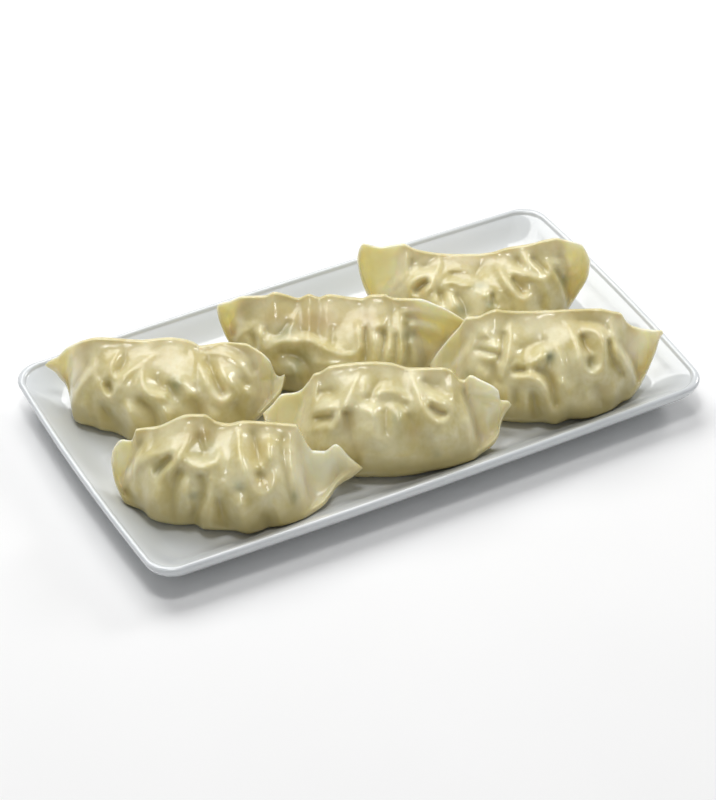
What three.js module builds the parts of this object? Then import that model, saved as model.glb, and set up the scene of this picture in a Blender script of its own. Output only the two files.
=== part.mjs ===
// Six pleated gyoza dumplings on a white rectangular porcelain plate.
// Millimetres, +Z up. The plate stands on Z = 0 with its length along X, and the
// origin is the middle of its underside.

import * as THREE from 'three';

// ---------------------------------------------------------------- plate sizes
const PLATE_HALF_LENGTH = 110.2;
const PLATE_HALF_WIDTH = 62.8;
const END_BOW = 2.0;             // how far the short ends swell past the corners
const SIDE_BOW = 1.4;            // the same for the long sides
const CORNER_RADIUS = 9.0;
const CORNER_TIGHTENING = 0.35;  // corner radius lost for each mm of inset
const PLATE_HEIGHT = 14.0;
const FLOOR_HEIGHT = 7.0;        // top of the flat floor
const RIM_ROLL = 3.2;            // width of the rounded rim
const WALL_FOOT = 12.0;          // inset where the inner wall meets the floor
const RECESS_HEIGHT = 2.6;       // underside inside the foot ring
const FOOT_OUTER = 17.0;         // insets of the flat foot ring
const FOOT_INNER = 21.0;
const CORNER_STEPS = 5;
const LONG_STEPS = 8;
const SHORT_STEPS = 5;

// ------------------------------------------------------------- dumpling sizes
const ROW_TURN = THREE.MathUtils.degToRad(-28);    // all six lie at this turn
const FACE_LEAN = THREE.MathUtils.degToRad(39.5);  // lean of the front face
const DOUGH = 1.2;               // half the thickness of the pressed edge
const FLANGE = 7.5;              // flat seam band above the filling
const BELLY_CREST = 0.42;        // place of the fullest part, foot 0 to seam 1
const REAR_START = 6;            // how far before the seam the back begins to swell
const REAR_BULGE = 7.5;          // how far behind the seam it swells
const REAR_CREST = 0.35;         // share of the height where it is fullest
const BACK_FILLET = 2.5;
const WING_TROUGH = 2.5;         // hollow of the empty wings
const LIP = 1.2;                 // bead along the fold of a wing
const SEAT_GAP = 0.45;           // clear of the plate
const COLUMNS = 30;
const FRONT_ROWS = 13;
const BACK_ROWS = 10;

const COS = Math.cos(FACE_LEAN);
const SIN = Math.sin(FACE_LEAN);

// ------------------------------------------------------------------ materials
const porcelain = new THREE.MeshStandardMaterial({ color: 0xe6e9e4, roughness: 0.15, metalness: 0 });
const boiledDough = new THREE.MeshStandardMaterial({ color: 0xcdc29c, roughness: 0.3, metalness: 0 });

// -------------------------------------------------------------------- helpers
const clamp = THREE.MathUtils.clamp;
const lerp = THREE.MathUtils.lerp;
const smooth = THREE.MathUtils.smoothstep;   // (value, from, to)

// A smooth line through [place, value] pairs that never overshoots them.
function curve(pairs, place) {
  const last = pairs.length - 1;
  const at = clamp(place, pairs[0][0], pairs[last][0]);
  let i = 0;
  while (i < last - 1 && at > pairs[i + 1][0]) i += 1;
  const slope = (k) => (pairs[k + 1][1] - pairs[k][1]) / (pairs[k + 1][0] - pairs[k][0]);
  const tangent = (k) => {
    if (k === 0) return slope(0);
    if (k === last) return slope(last - 1);
    const before = slope(k - 1);
    const after = slope(k);
    if (before * after <= 0) return 0;
    return 2 * before * after / (before + after);
  };
  const width = pairs[i + 1][0] - pairs[i][0];
  const f = (at - pairs[i][0]) / width;
  const g = 1 - f;
  return pairs[i][1] * g * g * (1 + 2 * f) + pairs[i + 1][1] * f * f * (1 + 2 * g)
    + width * f * g * (g * tangent(i) - f * tangent(i + 1));
}

// Rises like a quarter circle from 0 at an edge to 1 at the given distance.
function roundOff(distance, radius) {
  const q = 1 - clamp(distance / radius, 0, 1);
  return Math.sqrt(1 - q * q);
}

function smoothMax(a, b, blend) {
  const h = clamp(0.5 + 0.5 * (a - b) / blend, 0, 1);
  return lerp(b, a, h) + blend * h * (1 - h);
}

// Closes rings of equal length into one solid; each end is a single point.
function solidFromRings(rings, startPoint, endPoint) {
  const size = rings[0].length;
  const points = [...rings.flat(), startPoint, endPoint];
  const start = points.length - 2;
  const end = points.length - 1;
  const index = [];
  for (let j = 0; j < size; j += 1) {
    const k = (j + 1) % size;
    const lastRing = (rings.length - 1) * size;
    index.push(start, k, j, end, lastRing + j, lastRing + k);
    for (let i = 0; i + 1 < rings.length; i += 1) {
      const a = i * size;
      const b = a + size;
      index.push(a + j, a + k, b + k, a + j, b + k, b + j);
    }
  }
  const geometry = new THREE.BufferGeometry().setFromPoints(points);
  geometry.setIndex(index);
  geometry.computeVertexNormals();
  return geometry;
}

// ---------------------------------------------------------------------- plate
function cornerRadius(inset) {
  return CORNER_RADIUS - CORNER_TIGHTENING * Math.min(inset, WALL_FOOT);
}

// Pushes a point of the plain rounded rectangle out to the gently bowed sides.
function bowed(x, y, z) {
  const u = x / PLATE_HALF_LENGTH;
  const v = y / PLATE_HALF_WIDTH;
  const alongX = 1 + END_BOW / PLATE_HALF_LENGTH * (1 - v * v);
  const alongY = 1 + SIDE_BOW / PLATE_HALF_WIDTH * (1 - u * u);
  return new THREE.Vector3(x * alongX, y * alongY, z);
}

// One loop round the plate, the given distance inside the rim's outer edge.
function plateLoop(inset, z) {
  const radius = cornerRadius(inset);
  const a = PLATE_HALF_LENGTH - inset - radius;
  const b = PLATE_HALF_WIDTH - inset - radius;
  const corners = [[a, b], [-a, b], [-a, -b], [a, -b]];
  const loop = [];
  corners.forEach(([cx, cy], c) => {
    for (let i = 0; i <= CORNER_STEPS; i += 1) {
      const angle = (c + i / CORNER_STEPS) * Math.PI / 2;
      loop.push(bowed(cx + radius * Math.cos(angle), cy + radius * Math.sin(angle), z));
    }
    const [nx, ny] = corners[(c + 1) % 4];
    const steps = c % 2 === 0 ? LONG_STEPS : SHORT_STEPS;
    const turn = (c + 1) * Math.PI / 2;
    for (let i = 1; i < steps; i += 1) {
      const x = lerp(cx, nx, i / steps) + radius * Math.cos(turn);
      const y = lerp(cy, ny, i / steps) + radius * Math.sin(turn);
      loop.push(bowed(x, y, z));
    }
  });
  return loop;
}

// Height of the plate's upper face at an inset: rim roll, sloping wall, floor.
function upperFace(inset) {
  const rollFall = 0.9;
  const roll = PLATE_HEIGHT - rollFall * (1 - roundOff(RIM_ROLL - Math.abs(inset - RIM_ROLL / 2), RIM_ROLL));
  const wall = 1 - smooth(inset, RIM_ROLL / 2, WALL_FOOT);
  return Math.min(roll, FLOOR_HEIGHT + (PLATE_HEIGHT - FLOOR_HEIGHT) * wall);
}

function makePlate() {
  const outside = [
    [FOOT_INNER + 1.5, RECESS_HEIGHT], [FOOT_INNER, 0], [FOOT_OUTER, 0], [FOOT_OUTER - 1.6, 1.9],
    [8.0, 4.4], [3.4, 7.4], [1.1, 10.2], [0, 12.4],
  ];
  const inside = [0.35, 1.0, 1.7, 2.6, 3.8, 5.4, 7.2, 9.0, 10.6, WALL_FOOT];
  const profile = [...outside, ...inside.map((inset) => [inset, upperFace(inset)])];
  const rings = profile.map(([inset, z]) => plateLoop(inset, z));
  const under = new THREE.Vector3(0, 0, RECESS_HEIGHT);
  const over = new THREE.Vector3(0, 0, FLOOR_HEIGHT);
  return solidFromRings(rings, under, over);
}

// Inset of a place on the plate, found by halving.
function insetAt(x, y) {
  const u = clamp(x / PLATE_HALF_LENGTH, -1, 1);
  const v = clamp(y / PLATE_HALF_WIDTH, -1, 1);
  const plainX = Math.abs(x) / (1 + END_BOW / PLATE_HALF_LENGTH * (1 - v * v));
  const plainY = Math.abs(y) / (1 + SIDE_BOW / PLATE_HALF_WIDTH * (1 - u * u));
  let near = 0;
  let far = PLATE_HALF_WIDTH;
  for (let i = 0; i < 18; i += 1) {
    const inset = (near + far) / 2;
    const radius = cornerRadius(inset);
    const dx = plainX - (PLATE_HALF_LENGTH - inset - radius);
    const dy = plainY - (PLATE_HALF_WIDTH - inset - radius);
    const outward = Math.hypot(Math.max(dx, 0), Math.max(dy, 0)) + Math.min(Math.max(dx, dy), 0);
    if (outward < radius) near = inset; else far = inset;
  }
  return near;
}

// ------------------------------------------------------------------ dumplings
// A dumpling is drawn on its leaning front face: s runs along it and t climbs
// the face from the foot to the seam. Its depth out of the face makes the body.
// at      middle of the belly on the plate (x, y)
// seam    the upper outline, s and t      fold   the lower outline, s and t
// reach   how far back the seam stands    lift   height of the lower outline
// belly   ends of the filled part         bulge  how far the filling swells
// pleats  ridges: s and t at the seam, s and t at the foot, height, width
// lumps   swellings and hollows: s, t, half-length, half-height, depth
const DUMPLINGS = [
  {
    name: 'gyoza_back_left',
    at: [-67, 19],
    seam: [[-45, 18.5], [-40, 21.8], [-37, 24.6], [-27, 28.4], [-10, 27.8], [1, 28.6], [10, 26],
      [20, 26.8], [27, 26.4], [36, 20.5], [38.4, 15.2], [41.8, 14]],
    fold: [[-45, 18.5], [-40, 13.8], [-36.3, 6.5], [-34.4, -1], [-27, -3.6], [-20, -5.4],
      [-13, -8.6], [0, -9.4], [14, -9], [22, -7], [30, -2.5], [35.5, 3], [41.8, 14]],
    reach: [[-45, 6], [-30, 10], [0, 12], [25, 10], [41.8, 4]],
    lift: [[-45, 18.4], [-38, 6], [-34, 0.8], [26, 0.8], [34, 3], [41.8, 14.2]],
    belly: [-36, 33],
    bulge: 8.5,
    pleats: [[-16, 26, -21, 6, 1.6, 3.5], [-3, 22, -9, 9, 1.5, 4], [10, 24, 17, 7, 2.2, 3.5]],
    lumps: [[-22, 11, 3, 4, -1.6], [20, 12, 3, 5, -2], [-20, 0, 3, 6, -1.8], [-5, -1, 2.5, 6, -1.6],
      [11, 4, 3, 5, -1.3], [-12, 1, 5, 6, 1.2]],
  },
  {
    name: 'gyoza_front_left',
    at: [-67, -34.2],
    seam: [[-43.3, 14], [-42.5, 18.5], [-39, 22.2], [-36, 22.4], [-34, 26], [-27, 27], [-15, 31.2],
      [-10.5, 31], [-5, 28.2], [14, 28.3], [21, 27.4], [26.5, 18.8], [31, 18.4], [35, 20.4],
      [44.6, 12.2]],
    fold: [[-43.3, 14], [-40, 3], [-38, 0], [-32, -2.6], [-28, -5.8], [-15, -7.2], [-9, -8.9],
      [5, -9.8], [12, -8.2], [24, -5.6], [31, -0.6], [36, 6], [44.6, 12.2]],
    reach: [[-43.3, 4], [-30, 10], [0, 12], [25, 9.5], [44.6, 5]],
    lift: [[-43.3, 14.2], [-38, 2], [-30, 0.8], [24, 0.8], [32, 2.5], [44.6, 11.1]],
    belly: [-38, 25],
    bulge: 9,
    pleats: [[-16, 27, -25, 11, 1.8, 3.5], [2, 26, 7, 4, 2.6, 3.5], [19, 24, 23, 1, 1.4, 3.5]],
    lumps: [[-10, 19, 5, 6, -2.4], [8, 17, 3, 6, -1.6], [10, 8, 3.5, 3.5, -1.6], [-4, -4, 2.5, 5, -1.6],
      [-17, -3, 3, 5, -1.4], [13, 20, 4, 4, 1.6]],
  },
  {
    name: 'gyoza_back_centre',
    at: [-4, 7.5],
    seam: [[-44.8, 27], [-44, 28.6], [-35, 31.4], [-23.5, 32.8], [-15, 31], [-9, 32], [4, 31.3],
      [14, 32], [20, 30.9], [29, 30.5], [34, 28.8], [46.6, 22]],
    fold: [[-44.8, 27], [-42.5, 19], [-37, 9], [-31, 2.5], [-24, -2], [-15.5, -3.8], [-8, -7],
      [2, -8.5], [12, -8.5], [22, -6], [29, 0], [33.5, 5.5], [46.6, 22]],
    reach: [[-44.8, 10], [-30, 13], [0, 14], [25, 12], [46.6, 8]],
    lift: [[-44.8, 26.1], [-38, 6], [-30, 0.8], [26, 0.8], [34, 4], [46.6, 21.3]],
    belly: [-40, 30],
    bulge: 8.5,
    pleats: [[-17, 25, -25, 13, 1.6, 4], [4, 26, 7, 11, 2, 4], [15, 24, 16, 8, 1.2, 3]],
    lumps: [[10.5, 14, 2.5, 7, -2], [-13, 9, 4, 4, -1.6], [-10, 4, 2.5, 5, -1.5], [-16, 2, 4, 5, 1.4],
      [31, 17, 5, 4, -1]],
  },
  {
    name: 'gyoza_front_centre',
    at: [-6.5, -34],
    seam: [[-44.5, 13], [-41, 16.2], [-37, 20], [-31, 21.2], [-26, 27], [-20, 30], [-5, 31.4],
      [8, 29.4], [20, 29.2], [25, 25.6], [29, 26.4], [39, 21.3], [40, 17.8], [44, 16]],
    fold: [[-44.5, 13], [-40, 3], [-35, -2], [-28, -6], [-18, -8.7], [0, -9.4], [15, -7.5],
      [27, -5], [33, -1.5], [39, 4.8], [44, 16]],
    reach: [[-44.5, 4], [-30, 8], [0, 12], [25, 9], [44, 4]],
    lift: [[-44.5, 13], [-38, 4], [-30, 0.8], [28, 0.8], [36, 4], [44, 16.8]],
    belly: [-31, 31],
    bulge: 9.5,
    pleats: [[-9, 28, -18, 11, 2, 4], [7, 28, 13, 12, 2, 4], [23, 24, 28, 5, 1.4, 3.5]],
    lumps: [[0, 14, 2.5, 5, -1.6], [8.5, 8, 2.5, 5, -1.4], [17, 14, 4, 2.5, -1.8], [-22, 12, 4, 2.5, -1.4],
      [-7, 20, 4, 5, 1.2]],
  },
  {
    name: 'gyoza_back_right',
    at: [54, 10],
    seam: [[-43.7, 27], [-43, 30.5], [-41.5, 32.8], [-35, 31.8], [-27, 32.8], [-15, 29.8], [0, 29.2],
      [12, 31.5], [20, 32.8], [30, 34.8], [39, 32.7], [43, 26.5]],
    fold: [[-43.7, 27], [-40.7, 16], [-36, 7], [-30, 0.5], [-22, -5], [-12, -8.5], [0, -9.4],
      [12, -8.7], [21, -5.5], [28, -0.5], [35.2, 8.5], [39, 15], [43, 26.5]],
    reach: [[-43.7, 9], [-30, 12], [0, 13], [28, 13], [43, 9]],
    lift: [[-43.7, 27], [-38, 6], [-30, 0.8], [26, 0.8], [34, 4], [43, 26.3]],
    belly: [-31, 35],
    bulge: 8.5,
    pleats: [[-13, 27, -18, 14, 2, 3.5], [8, 25, 15, 14, 2.2, 3.5], [25, 26, 34, 11, 1.5, 4]],
    lumps: [[-20, 16, 3, 4, -1.8], [16, 17, 3, 5, -1.8], [-14, 11, 2.5, 5, -1.2], [3, 13, 5, 5, 0.9]],
  },
  {
    name: 'gyoza_front_right',
    at: [60.5, -36],
    seam: [[-45, 11.5], [-42, 16], [-38, 21], [-31.5, 28.6], [-27, 29.4], [-21, 31.5], [-12, 31],
      [5, 31.6], [16, 31.9], [24, 30.2], [29, 25.7], [39, 24.1], [39.9, 23]],
    fold: [[-45, 11.5], [-43, 6], [-38, 0.5], [-32, -4], [-25, -7.3], [-18, -8.8], [0, -9.7],
      [6, -8.2], [20, -5.5], [28, -0.7], [33.5, 6.5], [37.5, 16.5], [39.9, 23]],
    reach: [[-45, 4], [-30, 10], [0, 12], [25, 11], [39.9, 7]],
    lift: [[-45, 11], [-38, 3], [-32, 0.8], [27, 0.8], [33, 4], [39.9, 23.4]],
    belly: [-35, 31],
    bulge: 9,
    pleats: [[-16, 26, -20, 6, -1.6, 3], [4, 27, 10, 11, 2.6, 3.5], [20, 24, 28, 8, 1.6, 3.5]],
    lumps: [[13, 14, 3.5, 7, -2.2], [-1, 4, 2.5, 8, -1.6], [-9, 6, 6, 4, 1.2], [16, -1, 3, 5, -1.4],
      [-7, -4, 2.5, 5, -1]],
  },
];

// Ridges and hollows pressed into the front of one dumpling.
function frontRelief(spec, s, t) {
  let depth = 0;
  for (const [s0, t0, s1, t1, height, width] of spec.pleats) {
    const dx = s1 - s0;
    const dy = t1 - t0;
    const along = clamp(((s - s0) * dx + (t - t0) * dy) / (dx * dx + dy * dy), 0, 1);
    const away = Math.hypot(s - s0 - along * dx, t - t0 - along * dy) / width;
    depth += height * Math.exp(-1.4 * away * away);
  }
  for (const [sc, tc, halfLength, halfHeight, height] of spec.lumps) {
    const away = ((s - sc) / halfLength) ** 2 + ((t - tc) / halfHeight) ** 2;
    depth += height * Math.exp(-1.4 * away);
  }
  return depth;
}

// How far back the filling swells, at a share of the seam's height above the plate.
function rearOf(stand, share, bowed) {
  const low = 1 - 0.25 * (Math.max(REAR_CREST - share, 0) / REAR_CREST) ** 2.2;
  const high = 1 - 0.7 * (Math.max(share - REAR_CREST, 0) / (1 - REAR_CREST)) ** 2;
  return stand - REAR_START + (REAR_START + REAR_BULGE) * bowed * Math.min(low, high);
}

// Height at which the rounded back crosses the line at t, found by halving.
function heightBehind(t, stand, tall, bowed) {
  let low = 0;
  let high = tall;
  for (let i = 0; i < 24; i += 1) {
    const middle = (low + high) / 2;
    if (COS * middle + SIN * rearOf(stand, middle / tall, bowed) > t) high = middle; else low = middle;
  }
  return low;
}

// Depth of the front and the back of a dumpling at one place on its face.
function depths(spec, s, along) {
  const top = curve(spec.seam, s);
  const foot = curve(spec.fold, s);
  const span = Math.max(top - foot, 0.05);
  const t = foot + along * span;
  const stand = curve(spec.reach, s);
  const topDepth = (SIN * top - stand) / COS;
  const footDepth = (curve(spec.lift, s) - COS * foot) / SIN;

  const [left, right] = spec.belly;
  const empty = 1 - smooth(s, left - 3, left + 5) * (1 - smooth(s, right - 5, right + 3));
  const off = Math.min(1, Math.abs((2 * s - left - right) / (right - left)));
  const mass = (1 - off ** 3) ** 0.7;

  const fromTop = (1 - along) * span;
  const fromFoot = along * span;
  const fromEnds = Math.min(s - spec.seam[0][0], spec.seam.at(-1)[0] - s);
  const edge = roundOff(Math.min(fromTop, fromFoot), DOUGH) * roundOff(fromEnds, 1);

  const neck = clamp(1 - FLANGE / span, 0.45, 0.9);
  const below = clamp((BELLY_CREST - along) / BELLY_CREST, 0, 1);
  const above = clamp((along - BELLY_CREST) / (neck - BELLY_CREST), 0, 1);
  const swell = (1 - below ** 2.6) ** 0.62 * (0.5 + 0.5 * Math.cos(Math.PI * above));

  const trough = WING_TROUGH * Math.sin(Math.PI * along) * empty * clamp(span / 14, 0, 1);
  const middle = lerp(footDepth, topDepth, along) - trough;
  const bead = LIP * Math.exp(-(((fromFoot - 1.3) / 1.3) ** 2)) * empty * clamp(span / 10, 0, 1);
  const relief = frontRelief(spec, s, t) * roundOff(fromFoot, 2.5) * roundOff(fromTop, DOUGH)
    * roundOff(fromEnds, 2);
  const front = middle + edge * (DOUGH + bead) + spec.bulge * mass * swell + relief;

  const bowed = (1 - off ** 2) ** 0.85;
  const tall = Math.max((top - SIN * stand) / COS, 1);
  const wall = (SIN * t - rearOf(stand, heightBehind(t, stand, tall, bowed) / tall, bowed)) / COS;
  const hanging = -smoothMax(-(middle - DOUGH * edge), -wall, BACK_FILLET);
  const resting = -COS * t / SIN;
  const behind = Math.min(smoothMax(resting, hanging, BACK_FILLET), front - 1.6 * edge);
  return { t, front, back: footDepth + (behind - footDepth) * roundOff(fromFoot, 1.5) };
}

// Turns a place on the face and its depth into a point on the plate.
function facePoint(spec, s, t, depth) {
  const back = SIN * t - COS * depth;
  const x = spec.at[0] + s * Math.cos(ROW_TURN) - back * Math.sin(ROW_TURN);
  const y = spec.at[1] + s * Math.sin(ROW_TURN) + back * Math.cos(ROW_TURN);
  const seat = upperFace(insetAt(x, y)) + SEAT_GAP;
  const z = FLOOR_HEIGHT + COS * t + SIN * depth;
  return new THREE.Vector3(x - spec.at[0], y - spec.at[1], Math.max(z, seat) - FLOOR_HEIGHT);
}

// Even steps drawn closer together at both ends.
function spaced(i, count) {
  const even = i / count;
  return 0.5 * even + 0.5 * (0.5 - 0.5 * Math.cos(Math.PI * even));
}

function makeDumpling(spec) {
  const start = spec.seam[0][0];
  const end = spec.seam.at(-1)[0];
  const rings = [];
  for (let i = 1; i < COLUMNS; i += 1) {
    const s = lerp(start, end, spaced(i, COLUMNS));
    const ring = [];
    for (let j = 0; j < FRONT_ROWS; j += 1) {
      const { t, front } = depths(spec, s, spaced(j, FRONT_ROWS));
      ring.push(facePoint(spec, s, t, front));
    }
    for (let j = BACK_ROWS; j > 0; j -= 1) {
      const { t, back } = depths(spec, s, spaced(j, BACK_ROWS));
      ring.push(facePoint(spec, s, t, back));
    }
    rings.push(ring);
  }
  const tip = (s) => {
    const { t, front } = depths(spec, s, 0.5);
    return facePoint(spec, s, t, front);
  };
  return solidFromRings(rings.reverse(), tip(end), tip(start));
}

// ------------------------------------------------------------------- assembly
const group = new THREE.Group();

const plate = new THREE.Mesh(makePlate(), porcelain);
plate.name = 'plate';
group.add(plate);

for (const spec of DUMPLINGS) {
  const dumpling = new THREE.Mesh(makeDumpling(spec), boiledDough);
  dumpling.name = spec.name;
  dumpling.position.set(spec.at[0], spec.at[1], FLOOR_HEIGHT);
  group.add(dumpling);
}

export default group;
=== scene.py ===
"""Six pleated boiled dumplings on a white rectangular plate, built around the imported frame."""

import math

import bpy
import numpy as np
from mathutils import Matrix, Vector


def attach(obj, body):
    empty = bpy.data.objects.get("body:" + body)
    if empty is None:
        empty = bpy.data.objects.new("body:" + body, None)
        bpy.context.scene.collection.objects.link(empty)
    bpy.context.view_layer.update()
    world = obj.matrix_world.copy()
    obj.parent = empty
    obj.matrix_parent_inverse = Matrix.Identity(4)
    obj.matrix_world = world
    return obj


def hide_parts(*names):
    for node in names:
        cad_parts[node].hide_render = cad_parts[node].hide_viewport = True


bl_info = {
    "name": "Boiled dumplings on a plate",
    "version": (1, 0, 0),
    "blender": (4, 5, 0),
    "location": "View3D > Sidebar > Dumplings",
    "description": "Makes six pleated boiled dumplings, their porcelain plate and a plain studio stage",
    "category": "Add Mesh",
}

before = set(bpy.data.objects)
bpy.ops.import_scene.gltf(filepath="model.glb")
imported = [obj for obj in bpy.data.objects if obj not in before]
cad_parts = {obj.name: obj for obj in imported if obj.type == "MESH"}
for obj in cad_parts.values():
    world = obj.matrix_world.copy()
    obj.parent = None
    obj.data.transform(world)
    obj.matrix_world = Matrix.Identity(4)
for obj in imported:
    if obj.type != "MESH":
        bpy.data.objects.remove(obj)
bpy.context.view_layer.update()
MM = 0.001

# ------------------------------------------------------------------- the plate (mm)
HALF_LENGTH = 110.2
HALF_WIDTH = 62.8
END_BOW = 2.0                    # how far the middle of each short side swells out
SIDE_BOW = 1.4
CORNER_RADIUS = 9.0
PLATE_HEIGHT = 14.0
FLOOR_HEIGHT = 7.0
RIM_ROLL = 2.4
RIM_DROP = 1.1                   # from the crown of the rim to its outer edge
CROWN_FALL = 5.0
WALL_START = 0.9                 # how far under the crown the inner wall starts
WALL_FOOT = 14.0
WALL_EASE = 0.85
WALL_BLEND = 0.25
CORNER_STEPS = 22
LONG_STEPS = 40
SHORT_STEPS = 24
# Inset from the rim's outer edge and height, from the middle of the underside out to the rim.
OUTSIDE_PROFILE = [
    (23.5, 2.6), (22.4, 2.5), (21.5, 1.6), (21.0, 0.5), (20.3, 0.0), (17.4, 0.0), (16.6, 0.6),
    (15.6, 1.7), (12.0, 3.1), (8.0, 4.4), (5.4, 5.8), (3.4, 7.4), (2.0, 8.9), (1.1, 10.2),
    (0.45, 11.4), (0.12, 12.3),
]
# Insets from there over the crown and down the inner wall to the floor.
INSIDE_INSETS = [
    0.0, 0.1, 0.3, 0.6, 0.9, 1.2, 1.5, 1.8, 2.05, 2.25, 2.45, 2.7, 3.1, 3.7, 4.5, 5.5, 6.5, 7.6,
    8.8, 10.0, 11.2, 12.2, 13.0, 13.6, 14.2,
]

# ------------------------------------------------------------ body of a dumpling (mm)
# A pair of powers shapes a swelling: how square it is in the middle and how full at its edge.
ROW_TURN = math.radians(-28.0)   # of every dumpling on the plate
FACE_LEAN = math.radians(39.5)   # of the drawn face, back from upright
SIN = math.sin(FACE_LEAN)
COS = math.cos(FACE_LEAN)
DOUGH = 1.2
LEAST_DOUGH = 1.6                # from the front of the skin to its back
LEAST_SPAN = 0.05
SEAT_GAP = 0.45
FLANGE = 1.2
NECK_RANGE = (0.45, 0.97)
BELLY_CREST = 0.40
BELLY_ALONG = (2.3, 0.75)
BELLY_LOW = (2.4, 0.62)
BELLY_HIGH = (1.8, 1.6)
WING_OUT = 3.0                   # no filling from here outside the belly's end,
WING_IN = 5.0                    # and all of it from here inside
WING_TROUGH = 3.8
TROUGH_SKEW = 0.6
LIP = 2.6                        # the bead along the foot of an empty wing
LIP_HEIGHT = 1.8
LIP_WIDTH = 1.4
TROUGH_SPAN = 16.0               # below these spans a feature fades towards the tip
LIP_SPAN = 13.0
RELIEF_SPAN = 9.0
RELIEF_FOOT = 2.5                # and within these distances of an edge it fades out
RELIEF_TIP = 2.0
TIP_ROUND = 1.0
FOOT_ROUND = 1.5
REAR_START = 6.0                 # how far before the seam the back of the filling starts
REAR_BULGE = 8.0                 # and how far behind it the filling swells
REAR_CREST = 0.35
REAR_ALONG = (2, 0.85)
REAR_LOW = (0.25, 2.2)
REAR_HIGH = (0.7, 2)
LEAST_HEIGHT = 1.0
HALVINGS = 24
BACK_FILLET = 2.5
FOOT_FILLET = 2.5
DENT_EDGE = 6.0

# ------------------------------------------------- grid and relief of a dumpling (mm)
COLUMNS = 300
FRONT_ROWS = 126
BACK_ROWS = 54
COLUMN_EASE = 0.6                # 0 spaces points evenly, 1 crowds them at both ends
ROW_EASE = 0.55
CLOSING = 0.00001                # metres between points that become one
RELIEF_STEP = 0.3
MARGIN = 3
LOWEST = -15
HIGHEST = 38
SETTLING_ROUNDS = 90
COARSEST = 24                    # cells across the grid on which the skin settles first
LAST_CELL = 1.001                # keeps a place inside the last cell of a grid
SINK_REACH = 4.5                 # how far from a line the skin returns to its own height
PUFF = 0.6
CREST_SOFTNESS = 0.85            # the dough is rounder over a crest than in a crease
CREASE_SOFTNESS = 0.6
SOFT_BLEND = 0.4
RELIEF_GAIN = 1.9
CREASE_GAIN = 0.42
CREASE_LIMIT = 1.25
CREST_BAND = (-1.2, -0.6, 0.0, 0.6, 1.2)  # places across a line that it pins
CREST_FALL = 0.3
CREASE_BAND = (-0.5, -0.25, 0.0, 0.25, 0.5)
CREASE_FALL = -1.2
CURVE_STEPS = 6
SPOT_FALL = 1.4
RIPPLES = ((3.2, 0.22), (1.3, 0.085))     # size and height of the unevenness in front
DENTS = ((5.0, 0.75), (1.5, 0.14))        # and behind
HOLLOW_REACH = 2.6
HOLLOW_DETAIL = 0.6

# ----------------------------------------------------------- tints of the skin, 0 to 1
# A pair is the strength of a tint at an edge and the reach in mm over which it fades.
# The thin tint is partly the paler tone of thin dough and partly painted glow of light shining through it.
THIN_WING = 0.85
THIN_SEAM = (0.15, 6.0)
THICK_FOOT = (0.7, 2.2)
# Painted shade in one darker colour, in creases and along the foot, less on the empty wings; the same
# colour also darkens a band towards the seam.
SHADED_FOOT = (1.05, 7.5)
GOLDEN_SEAM = (0.18, 9.0)
HOLLOW_SHADE_GAIN = 0.36
HOLLOW_SHADE_LIMIT = 0.55
WING_UNSHADED = 0.75
WING_FOOT_UNSHADED = 0.6
# The last of these tints is painted shade, not a colour of the dough.
TINTS = ("skin_thin", "skin_green", "skin_brown", "skin_hollow")
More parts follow.
